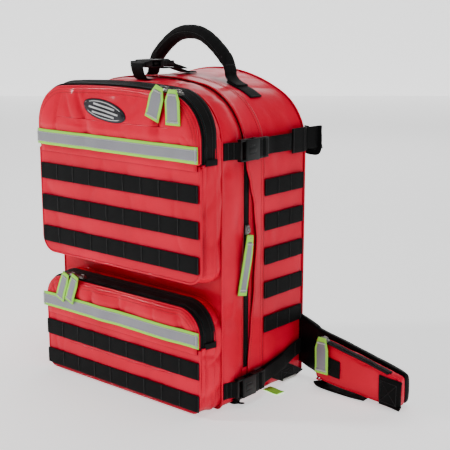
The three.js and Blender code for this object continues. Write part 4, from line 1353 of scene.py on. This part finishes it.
def buckles_and_straps():
    back = BACK_Y / MM
    for s, side in SIDES:
        flip = FLIPS[s]
        base = HALF / MM + 4.6
        upper = flip @ shift(base, -9, 386) @ spin("Y", 90)
        lower = flip @ shift(base, -14, 29) @ spin("Y", 90)
        buckle("upper", f"_{side}", upper)
        buckle("lower", f"_{side}", lower)
        # Short webbing from the front seam, round the socket's bar and back.
        stub = [(0, -65, -2.6), (0, -52, -1.6), (0, -44, 1.5), (0, -39.5, 6), (0, -36.0, 6.6)]
        webbing_piece(f"upper_stub_{side}", upper, stub, "front_section", tacks=(0.2, 0.45))
        stub = [(0, -60, -2.4), (0, -51, -1.8), (0, -44, 1.2), (0, -39.5, 5.5), (0, -36.0, 6.4)]
        webbing_piece(f"lower_stub_{side}", lower, stub, "front_section", tacks=(0.2, 0.45))
        # The adjusting webbing passes under and over the plug's bar; its spare end lies on top.
        loop = [(0, 17.8, 8.8), (0, 13.6, 10.6), (0, 10.4, 7.2), (0, 12.8, 3.4), (0, 20, 1.2), (0, 27, -0.6)]
        main = [(0, 27, -0.6), (0, 44, -1.7), (0, 80, -1.5), (0, back + 8, -1.4)]
        webbing_piece(f"upper_loop_{side}", upper, loop, f"upper_plug_{side}", width=24.6)
        made = webbing_piece(f"upper_web_{side}", upper, [(0, 4, -2.0)] + main[1:], "rear_section",
                             tacks=(0.72, 0.8))
        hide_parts(f"upper_strap_{side}")
        spare = [(0, 15.0, 8.2), (0, 21, 7.6), (0, 30, 3.4), (0, 42, 2.4), (0, 54, 3.6),
                 (0, 68, 4.4), (0, 82, 4.9)]
        webbing_piece(f"upper_spare_{side}", upper, spare, f"upper_plug_{side}", width=24.6)
        # Sewn patch and the rolled spare webbing behind the back edge.
        patch = [(0, 92, 0.4), (0, 112, 0.8), (0, 124, 0.4), (0, 132, -3.4)]
        webbing_piece(f"upper_patch_{side}", upper, patch, "rear_section", width=38,
                      tacks=(0.1, 0.6), thick=2.2)
        z = 384
        roll = [(171, back + 5, z + 3), (175, back + 22, z + 3), (172, back + 42, z + 1),
                (165, back + 49, z - 2),
                (158, back + 42, z - 4), (156, back + 24, z - 3), (159, back + 7, z - 1)]
        pts = [flip @ v(*p) for p in roll]
        line = smooth_line(pts, 7)
        ups = [Vector((0, 0, 1)).cross(a).normalized() for a in tangents(line)]
        widths = [36 * MM - 7 * MM * abs(i / len(line) - 0.5) for i in range(len(line))]
        strap(f"upper_roll_{side}", line, ups, widths, 2.4 * MM, BLACK, "rear_section")
        inner = [flip @ v(x * 0.985 + 1.4, y - 5, zz + 1) for x, y, zz in roll[1:-1]]
        line = smooth_line(inner, 7)
        ups = [Vector((0, 0, 1)).cross(a).normalized() for a in tangents(line)]
        strap(f"upper_roll_inner_{side}", line, ups, 30 * MM, 2.2 * MM, BLACK, "rear_section")
        band = [(176.4, 20), (178.4, 0), (176.4, -20), (165, -23), (153.5, -20), (152.5, 0), (153.5, 18)]
        keeper = smooth_line([flip @ v(x, back + 30, z + dz) for x, dz in band], 6)
        strap(f"upper_keeper_{side}", keeper, (0, 1, 0.001), 9 * MM, 1.6 * MM, BLACK, "rear_section")
        # Lower webbing: droops from the plug and climbs to the back edge.
        webbing_piece(f"lower_loop_{side}", lower, loop, f"lower_plug_{side}", width=24.6)
        low = [(0, 4, -2.0), (-2, 30, -1.6), (-7, 60, -1.4), (-13, 88, -0.6), (-20, 108, 0.0),
               (-24, back + 9, -1.0)]
        made = webbing_piece(f"lower_web_{side}", lower, low, "rear_section", tacks=(0.86,))
        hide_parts(f"lower_strap_{side}")
        spare = [(0, 15.0, 8.2), (-0.5, 22, 7.4), (-2, 32, 3.4), (-4, 48, 2.0), (-8, 66, 3.0), (-12, 84, 2.2)]
        webbing_piece(f"lower_spare_{side}", lower, spare, f"lower_plug_{side}", width=24.6)
        # Triangular anchor, its grey bar and the webbing end below.
        tab = [(43, 17), (72, 2.2), (100, 1.8), (back + 5, 8), (79, 33)]
        verts = [flip @ v(HALF / MM + x, y, z0) for x in (0.5, 2.6) for y, z0 in tab]
        faces = [(0, 1, 2, 3, 4), (9, 8, 7, 6, 5)] + ring_faces(1, 5)
        uvs = [(p.y, p.z) for p in verts]
        anchor = piece(f"anchor_{side}", verts, faces, BLACK, None, uvs, smooth=False)
        recalculate(anchor)
        modifier(anchor, "BEVEL", width=0.6 * MM, segments=2)
        apply_modifiers(anchor)
        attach(anchor, "rear_section")
        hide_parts(f"shoulder_anchor_{side}")
        out = Vector((s, 0, 0))
        box_stitch(f"anchor_stitch_{side}", flip @ v(HALF / MM + 2.8, 66, 8), (0, 1, 0.0), (0, 0, 1),
                   32, 13, out, "rear_section")
        bar = [flip @ v(HALF / MM + 3.6, y, z0) for y, z0 in ((70, 5.6), (80, 5.2), (92, 4.9), (103, 4.7))]
        tube(f"anchor_bar_{side}", bar, 2.0 * MM, SHEET, "rear_section")


def top_buckle():
    place = shift(0, -28, 496)
    buckle("top", "", place)
    riser = [(0, -14, -17.3), (0, -25, -17.6), (0, -33, -15.5), (0, -38.5, -8), (0, -41.2, 1), (0, -39, 6.4),
             (0, -35.5, 6.9)]
    webbing_piece("top_stub", place, riser, "front_section", up=(0, -1, 0))
    loop = [(0, 17.8, 8.8), (0, 13.6, 10.6), (0, 10.4, 7.2), (0, 12.8, 3.4), (0, 20, 1.2), (0, 30, -0.8)]
    webbing_piece("top_loop", place, loop, "top_plug", width=24.6)
    main = [(0, 4, -2), (0, 20, -2.2), (0, 36, -3.4), (0, 52, -7.6), (0, 65, -11), (0, 78, -11.8)]
    made = webbing_piece("top_web", place, main, "rear_section", tacks=(0.9, 0.99))
    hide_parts("top_strap")
    spare = [(0, 15.0, 8.2), (0, 22, 7.2), (0, 32, 2.6), (0, 44, -0.6), (0, 56, -4.6)]
    webbing_piece("top_spare", place, spare, "top_plug", width=24.6)


# ---------------------------------------------------------------- carry handle
def carry_handle():
    y, z, reach, rise, grip, leg, half_web = 50, 487, 82, 62, 11, 2.4, 12.7
    path = [(1, 0.0, 0), (0.975, 0.13, 0.1), (0.9, 0.29, 0.55), (0.77, 0.48, 0.95), (0.57, 0.7, 1),
            (0.36, 0.87, 1),
            (0.17, 0.945, 1), (0, 0.96, 1)]
    spine = [(-x * reach, up, full) for x, up, full in path]
    spine += [(x * reach, up, full) for x, up, full in reversed(path[:-1])]
    centre = smooth_line([v(x, y, z + up * rise) for x, up, _ in spine], 9)
    fulls = [p.x for p in smooth_line([Vector((full, 0, 0)) for _, _, full in spine], 9)]
    ways = tangents(centre)
    n, k = len(centre), 20
    verts, uvs, run = [], [], 0.0
    for i in range(n):
        run += (centre[i] - centre[i - 1]).length if i else 0
        full = ease(min(1.0, max(0.0, fulls[i])))
        thick = (leg + (grip - leg) * full) * MM
        half = (half_web + (grip - half_web) * full) * MM
        power = 2.0 + 4.0 * (1 - full)
        side = Vector((0, 1, 0))
        face = ways[i].cross(side).normalized()
        pinch = 1 - 0.05 * full * max(0.0, math.cos(run / (17 * MM) * 2 * math.pi)) ** 6
        for j in range(k):
            a = 2 * math.pi * (j + 0.5) / k
            ca, sa = squarish(math.cos(a), power), squarish(math.sin(a), power)
            rough = 1 + 0.02 * wander(centre[i], j, 0.02)
            verts.append(centre[i] + side * (ca * half * pinch) + face * (sa * thick * rough * pinch))
            uvs.append((run, half * a))
    faces = ring_faces(n - 1, k)
    faces += [tuple(reversed(range(k))), tuple((n - 1) * k + j for j in range(k))]
    handle = piece("handle_grip", verts, faces, BLACK, None, uvs)
    recalculate(handle)
    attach(handle, "carry_handle")
    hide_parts("carry_handle")
    # The grip's sewn seam, and the ends of its webbing.
    grip_line = [centre[i] for i in range(n) if fulls[i] > 0.85]
    seam = [p + Vector((0, -1, 0)) * (grip + 0.1) * MM for p in grip_line]
    stitches("handle_stitches", seam, (0, -1, 0), BLACK_THREAD, "carry_handle", 3.4 * MM)
    tube("handle_seam", [p + Vector((0, -(grip - 0.6) * MM, -2.2 * MM)) for p in grip_line], 1.1 * MM, BLACK,
         "carry_handle", sides=8, up=(0, 1, 0))
    tacks = []
    for sign in (-1, 1):
        for up in (0.16, 0.36):
            i = min(range(n), key=lambda q: abs(centre[q].z - (z + up * rise) * MM)
                    + (0 if centre[q].x * sign > 0 else 9))
            face = ways[i].cross(Vector((0, 1, 0))).normalized()
            face = face if face.z > 0 else -face
            bar_tack(tacks, centre[i] + face * (leg + 0.2) * MM, Vector((0, 1, 0)), face, 22 * MM)
    beads("handle_tacks", tacks, TACK, BLACK_THREAD, "carry_handle")
    # Each leg is sewn to a webbing tab on the bag's top; its foot curves from the leg onto the top and is
    # fixed to no body.
    for s, side in SIDES:
        ring = around(y)
        ways_out = outward(ring)

        def on_top(x, lift):
            j = min(range(len(ring)), key=lambda q: abs(ring[q][0] - x * MM) + (0 if ring[q][1] > 0.3 else 9))
            return Vector((ring[j][0] + ways_out[j][0] * lift * MM, y * MM,
                           ring[j][1] + ways_out[j][1] * lift * MM))

        pts = [on_top(s * x, lift) for x, lift in ((85, 2.2), (92, 1.9), (104, 1.7), (118, 1.6), (131, 1.6))]
        tab = strap(f"handle_tab_{side}", smooth_line(pts, 6), (0, 0, 1), 27 * MM, 2.2 * MM, BLACK,
                    "rear_section")
        placed = []
        for i in (0, 4):
            bar_tack(placed, pts[i] + Vector((0, 0, 1.3 * MM)), Vector((0, 1, 0)),
                     Vector((s * 0.35, 0, 1)).normalized(), 23 * MM)
        beads(f"handle_tab_tacks_{side}", placed, TACK, BLACK_THREAD, "rear_section")
        top = [v(s * 80.0, y, z + 6), v(s * 81.4, y, z + 1)]
        foot = smooth_line(top + [v(s * 83, y, z - 6), on_top(s * 86, 5.6), on_top(s * 93, 3.8),
                                  on_top(s * 104, 3.4)], 8)
        ways_foot = tangents(foot)
        ups = [Vector((0, 1, 0)).cross(w).normalized() * -s for w in ways_foot]
        leg_foot = strap(f"handle_foot_{side}", foot, ups, 25.4 * MM, 3.4 * MM, BLACK)
        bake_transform(leg_foot)


pocket_zips()
side_zips()
buckles_and_straps()
top_buckle()
carry_handle()


# ---------------------------------------------------------------- back, straps and wings
def full_section():
    """A plump section for padded straps, as shares of the half width and half thickness."""
    n, power = 24, 3.0
    out = []
    for j in range(n):
        a = 2 * math.pi * (j + 0.5) / n
        out.append((-squarish(math.cos(a), power), squarish(math.sin(a), power - 0.8)))
    return out


def edge_binding(name, outline, y, radius, body):
    line = [Vector((x, y, z)) for x, z in outline]
    return tube(name, line, radius * MM, BLACK, body, closed=True, sides=8, up=(0, 1, 0))


def back_panel():
    y = BACK_Y + 0.4 * MM

    def channel(x, z):
        return -4.0 * math.exp(-(x / 10) ** 2) - 2.2 * math.exp(-((z - 290) / 9) ** 2)

    outline = slab(122, 140, 440, 45, 45)
    pad = cushion("back_pad_foam", outline, y, 1, MESH, "rear_section", crown=8.0, edge=5.0,
                  wrinkle=0.5, seed=51,
                  relief=channel, thick=1.6, rings=40)
    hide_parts("back_pad")
    edge_binding("back_pad_edge", outline, y + 1.2 * MM, 2.0, "rear_section")
    outline = slab(122, 22, 128, 30, 30)
    pad = cushion("lumbar_pad_foam", outline, y, 1, MESH, "rear_section", crown=11.0, edge=6.5,
                  wrinkle=0.6, seed=52,
                  thick=1.6, rings=34)
    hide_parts("lumbar_pad")
    edge_binding("lumbar_pad_edge", outline, y + 1.2 * MM, 2.0, "rear_section")


def shoulder_straps():
    root = BACK_Y / MM + 15
    line_mm = [(root + 7, 432), (root + 21, 380), (root + 33, 320), (root + 29, 250), (root + 15, 180)]
    for s, side in SIDES:
        body = f"shoulder_strap_{side}"
        line = smooth_line([v(s * 77, y, z) for y, z in line_mm], 10)
        ways = tangents(line)
        ups = [Vector((1, 0, 0)).cross(w).normalized() for w in ways]
        ups = [u if u.y > 0 else -u for u in ups]
        n = len(line)
        widths = [(62 - 8 * (i / (n - 1)) ** 2) * MM for i in range(n)]
        pad = strap(f"shoulder_pad_{side}", line, ups, widths, 14 * MM, MESH, body, section=full_section())
        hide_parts(body)
        for k, sign in enumerate((-1, 1)):
            edge = [p + Vector((sign * (w / 2 - 0.3 * MM), 0, 0)) for p, w in zip(line, widths)]
            tube(f"shoulder_edge_{side}_{k}", edge, 1.9 * MM, BLACK, body, sides=8, up=(0, 1, 0))
        web = [p + u * 7.4 * MM for p, u in zip(line, ups)]
        strap(f"shoulder_web_{side}", web[2:], ups[2:], 25 * MM, 1.7 * MM, BLACK, body)
        tacks = []
        for i in (6, 16, 26, 36):
            bar_tack(tacks, web[i] + ups[i] * 1.1 * MM, Vector((1, 0, 0)), ups[i], 23 * MM)
        beads(f"shoulder_tacks_{side}", tacks, TACK, BLACK_THREAD, body)
        # Ladder lock at the lower end, and the webbing that runs down to the anchor.
        low = line[-1]
        place = Matrix.Translation(low) @ spin("X", -16)
        frame_bars = [((-16, -2.5, -16), (-12.5, 3, 2), 1), ((12.5, -2.5, -16), (16, 3, 2), 1),
                      ((-16, -2, -1.5), (16, 2.5, 2), 1.2), ((-16, -3, -9), (16, 1, -6.5), 1),
                      ((-16, -1, -17), (16, 3.4, -13.6), 1.3)]
        blocks(f"ladder_lock_{side}", frame_bars, PLASTIC, body, place)
        run = smooth_line([low + v(0, 0, -7), low + v(s * 6, -6, -40), v(s * 104, 131, 108),
                           v(s * 150, 127, 84),
                           v(s * 171.5, 121, 62)], 8)
        down = strap(f"shoulder_lower_web_{side}", run, (0, 1, 0.15), 25 * MM, 1.7 * MM, BLACK)
        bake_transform(down)
        # The strap's root, sewn into the back panel.
        tongue = smooth_line([v(s * 77, BACK_Y / MM + 1.4, 460), v(s * 77, BACK_Y / MM + 3.4, 448),
                              v(s * 77, root + 1, 436), v(s * 77, root + 8, 426)], 6)
        yoke = strap(f"shoulder_yoke_{side}", tongue, (0, 1, 0.3), 58 * MM, 3.2 * MM, PAD)
        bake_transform(yoke)
    # One webbing across the back covers both roots, with the spare length stitched down.
    across = smooth_line([v(x, BACK_Y / MM + 3.2, 450) for x in (-100, -55, 0, 55, 100)], 8)
    strap("yoke_cover", across, (0, 1, 0), 25 * MM, 1.8 * MM, BLACK, "rear_section")
    tacks = []
    for x in (-98, -77, -46, -20, 20, 46, 77, 98):
        bar_tack(tacks, v(x, BACK_Y / MM + 4.3, 450), Vector((0, 0, 1)), Vector((0, 1, 0)), 22 * MM)
    beads("yoke_tacks", tacks, TACK, BLACK_THREAD, "rear_section")
    loop = smooth_line([v(-24, BACK_Y / MM + 3, 452), v(-20, BACK_Y / MM + 11, 466),
                        v(0, BACK_Y / MM + 14, 472),
                        v(20, BACK_Y / MM + 11, 466), v(24, BACK_Y / MM + 3, 452)], 8)
    strap("hang_loop", loop, (0, 1, 0.3), 20 * MM, 1.8 * MM, BLACK, "rear_section")


def box_loft(name, stations, mat, body, flip, steps=10, power=5.0, wrinkle=0.8, seed=60):
    """A soft box along X: stations are (x, y0, y1, z0, z1) in millimetres."""
    keys = smooth_line([Vector((s[0], s[1], s[2])) for s in stations], steps)
    zs = smooth_line([Vector((s[0], s[3], s[4])) for s in stations], steps)
    verts, uvs = [], []
    count, n = len(keys), 40
    for i, (a, b) in enumerate(zip(keys, zs)):
        end = min(i, count - 1 - i)
        shrink = 1 - 0.10 * max(0.0, 1 - end / 3) ** 2
        cy, hy, cz, hz = (a.y + a.z) / 2, (a.z - a.y) / 2 * shrink, (b.y + b.z) / 2, (b.z - b.y) / 2 * shrink
        for j in range(n):
            t = 2 * math.pi * (j + 0.5) / n
            y = cy + hy * squarish(math.cos(t), power)
            z = cz + hz * squarish(math.sin(t), power)
            p = v(a.x, y, z)
            off = wrinkle * (wander(p, seed, 0.04) + 0.5 * wander(p, seed + 3, 0.018)
                             - 0.9 * crease(p, seed + 5, 0.05))
            away = Vector((0, y - cy, (z - cz) * 0.3)).normalized()
            p += away * off * MM
            p.z = max(p.z, 0.6 * MM)
            verts.append(flip @ p)
            uvs.append((p.x, p.z))
    faces = ring_faces(count - 1, n)
    for end in (0, count - 1):
        base = end * n
        centre = len(verts)
        middle = Vector((0, 0, 0))
        for j in range(n):
            middle += verts[base + j] / n
        out = 2.0 * MM * (-1 if end == 0 else 1)
        verts.append(middle + Vector((out * (flip[0][0]), 0, 0)))
        uvs.append((middle.x, middle.z))
        faces += [(base + j, base + (j + 1) % n, centre) for j in range(n)]
    obj = piece(name, verts, faces, mat, None, uvs)
    recalculate(obj)
    modifier(obj, "SUBSURF", levels=1, render_levels=1)
    apply_modifiers(obj)
    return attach(obj, body) if body else obj


def wings():
    for s, side in SIDES:
        flip = FLIPS[s]
        body = f"wing_{side}"
        foam = [(176, 114, 124, 22, 103), (215, 112, 124, 12, 88), (290, 112, 124, 7, 71),
                (371, 112, 124, 2, 52)]
        pad = box_loft(f"wing_foam_{side}", foam, PAD, body, flip, power=4.0, seed=61)
        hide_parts(f"wing_pad_{side}")
        shell = [(220, 95.5, 111.7, 15, 79), (240, 90.5, 111.7, 13, 77), (300, 90.3, 111.7, 8, 65),
                 (350, 91, 111.7, 3.5, 54), (370, 96, 111.7, 4, 48)]
        pouch = box_loft(f"wing_pouch_fabric_{side}", shell, RED, body, flip, power=6.0, wrinkle=1.2, seed=66)
        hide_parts(f"wing_pouch_{side}")
        surface = Surface(pouch)
        # Piping round the pouch's outer face.
        ring = [(222, 17), (238, 14.5), (300, 9.5), (350, 5.2), (368, 6.5), (369, 26), (367, 46),
                (350, 52.5), (300, 63.5),
                (238, 75.5), (223, 77), (221, 47)]
        pts = smooth_line([flip @ v(x, 92, z) for x, z in ring], 8, closed=True)
        pts = [surface.drop(p, (0, 1, 0), 0.2 * MM) for p in pts]
        tube(f"wing_piping_{side}", pts, 1.5 * MM, RED, body, closed=True, sides=8, up=(0, 1, 0))
        # The zip along the top.
        zip_line = smooth_line([flip @ v(x, 97, 90) for x in (224, 245, 290, 330, 352)], 8)
        zip_line = [surface.drop(p, (0, 0, -1), 0.6 * MM) for p in zip_line]
        strap(f"wing_tape_{side}", zip_line, (0, 0, 1), 15 * MM, 1.0 * MM, TAPE, body)
        raised = [p + v(0, 0, 0.9) for p in zip_line]
        for row in (-1, 1):
            zip_teeth(f"wing_teeth_{side}_{'a' if row < 0 else 'b'}",
                      [p + v(0, row * 0.45, 0) for p in raised],
                      (0, 0, 1), body, (0, 1, 0), row)
        # Black patches at both ends of the pouch, on its outer face.
        for k, (x0, x1, z0, z1) in enumerate(((244, 268, 27, 56), (338, 373, 4, 50))):
            verts, uvs = [], []
            nx, nz = 10, 14
            for i in range(nx + 1):
                for j in range(nz + 1):
                    x = x0 + (x1 - x0) * i / nx
                    slope = (x - x0) * (-0.16)
                    z = z0 + (z1 - z0) * j / nz + (slope if j > nz / 2 else slope * 0.4)
                    p = surface.drop(flip @ v(min(x, 368), 92, z), (0, 1, 0), 1.7 * MM)
                    p.x = s * x * MM
                    p.z = max(p.z, 1.5 * MM)
                    verts.append(p)
                    uvs.append((x * MM, z * MM))
            faces = [(i * (nz + 1) + j, i * (nz + 1) + j + 1, (i + 1) * (nz + 1) + j + 1,
                      (i + 1) * (nz + 1) + j)
                     for i in range(nx) for j in range(nz)]
            patch = piece(f"wing_patch_{side}_{k}", verts, faces, BLACK, None, uvs)
            face_out(patch, flip @ v((x0 + x1) / 2, 130, 40))
            modifier(patch, "SOLIDIFY", thickness=2.0 * MM, offset=-1)
            modifier(patch, "BEVEL", width=0.5 * MM, segments=2)
            apply_modifiers(patch)
            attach(patch, body)
            box_stitch(f"wing_patch_stitch_{side}_{k}",
                       Vector((s * (x0 + 3) * MM, verts[nz // 2].y - 0.2 * MM, (z0 + 6) * MM)),
                       (s, 0, -0.1), (0, 0, 1), x1 - x0 - 8, z1 - z0 - 14, Vector((0, -1, 0)), body)
        # Tapered root that joins the pad to the bag.
        xs = [(160, 116, 122.5, 26, 108), (172, 115, 123.5, 24, 104), (190, 113, 124.5, 18, 98),
              (214, 111.6, 124.4, 12, 89)]
        root = box_loft(f"wing_root_{side}", xs, PAD, None, flip, steps=6, power=4.5, wrinkle=0.3, seed=71)
        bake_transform(root)
        # Webbing under the pad, with its end trailing on the floor.
        path = ((223, 103, 8), (229, 100, 4), (245, 99, 2.7), (268, 98.5, 2.3), (290, 98.5, 2.1),
                (312, 100, 2.4))
        run = smooth_line([flip @ v(*p) for p in path], 8)
        strap(f"wing_under_web_{side}", run, (0, 0, 1), 24 * MM, 1.8 * MM, BLACK, body)


def insides():
    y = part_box("organizer_panel")[1].y
    panel = cushion("organizer_fabric", slab(140, 20, 400, 12, 12), y, -1, LINING, "rear_section", crown=0.0,
                    edge=2.6, wrinkle=0.4, seed=81, thick=2.2, rings=24)
    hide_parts("organizer_panel")
    face = y / MM - 3.0
    tacks = [-132 + 264 * i / 8 for i in range(9)]
    for k, z in enumerate((220, 320)):
        placed, pts = [], []
        for i in range(65):
            t = (i % 8) / 8
            u = -132 + 264 * i / 64
            pts.append(v(u, face - 0.8 - 4.2 * math.sin(math.pi * t) ** 0.8, z))
        strap(f"organizer_loops_{k}", pts, (0, -1, 0), 40 * MM, 1.4 * MM, BLACK, "rear_section")
        for u in tacks:
            bar_tack(placed, v(u, face - 1.8, z), Vector((0, 0, 1)), Vector((0, -1, 0)), 36 * MM)
        beads(f"organizer_tacks_{k}", placed, TACK, WHITE_THREAD, "rear_section")
    cushion("organizer_pocket", slab(134, 36, 156, 5, 12), face * MM, -1, MESH, "rear_section",
            crown=5.0, edge=3.0,
            wrinkle=1.0, seed=83, thick=1.2, rings=24)
    strap("organizer_pocket_hem", [v(-134 + 268 * i / 30, face - 3.4, 153) for i in range(31)],
          (0, -1, 0), 12 * MM,
          1.4 * MM, BLACK, "rear_section")
    low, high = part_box("frame_sheet")
    sheet = cushion("frame_sheet_board", slab(high.x / MM, low.z / MM, high.z / MM, 60, 12),
                    high.y - 1.2 * MM, -1, SHEET,
                    "rear_section", crown=0.0, edge=1.2, wrinkle=0.0, seed=84, thick=2.2, rings=14)
    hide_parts("frame_sheet")
    # Net pocket on the inside of the front section.
    inner_y = SEAM_Y / MM + 3.2
    cushion("front_net_pocket", slab(140, 60, 330, 10, 16), inner_y * MM, 1, MESH, "front_section",
            crown=4.0, edge=2.0,
            wrinkle=1.2, seed=85, thick=1.0, rings=26)
    strap("front_net_hem", [v(-140 + 280 * i / 30, inner_y + 3.6, 326) for i in range(31)], (0, 1, 0),
          16 * MM, 1.5 * MM,
          BLACK, "front_section")
    # Fabric hinge of the clamshell, under the bag.
    z = 1.0
    hinge = strap("clamshell_hinge", [v(-152 + 304 * i / 30, ZIP_Y / MM, z) for i in range(31)],
                  (0, 0, 1), 22 * MM,
                  1.0 * MM, RED)
    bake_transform(hinge)


def small_parts():
    for s, side in SIDES:
        loop = smooth_line([v(s * 160, -40, 1.2), v(s * 172, -43, 2.4), v(s * 181, -46, 6),
                            v(s * 176, -48, 10.5),
                            v(s * 170.8, -48, 11.5)], 8)
        strap(f"base_loop_{side}", loop, (0, 0.1, 1), 15 * MM, 1.6 * MM, BLACK, "front_section")
        tab = smooth_line([v(s * 168, 36, 1.2), v(s * 178, 35, 1.6), v(s * 190, 33, 1.4),
                           v(s * 198, 32, 2.2)], 6)
        strap(f"floor_tab_{side}", tab, (0, 0, 1), 17 * MM, 1.4 * MM, LIME, "rear_section")
    # Zip ends: a sewn stop on both sides of the bag.
    for s, side in SIDES:
        stop = [v(s * (HALF / MM + 0.8), ZIP_Y / MM - 11 + 22 * i / 6, 46) for i in range(7)]
        strap(f"zip_end_{side}", stop, (s, 0, 0), 16 * MM, 1.6 * MM, RED, "rear_section")


back_panel()
shoulder_straps()
wings()
insides()
small_parts()
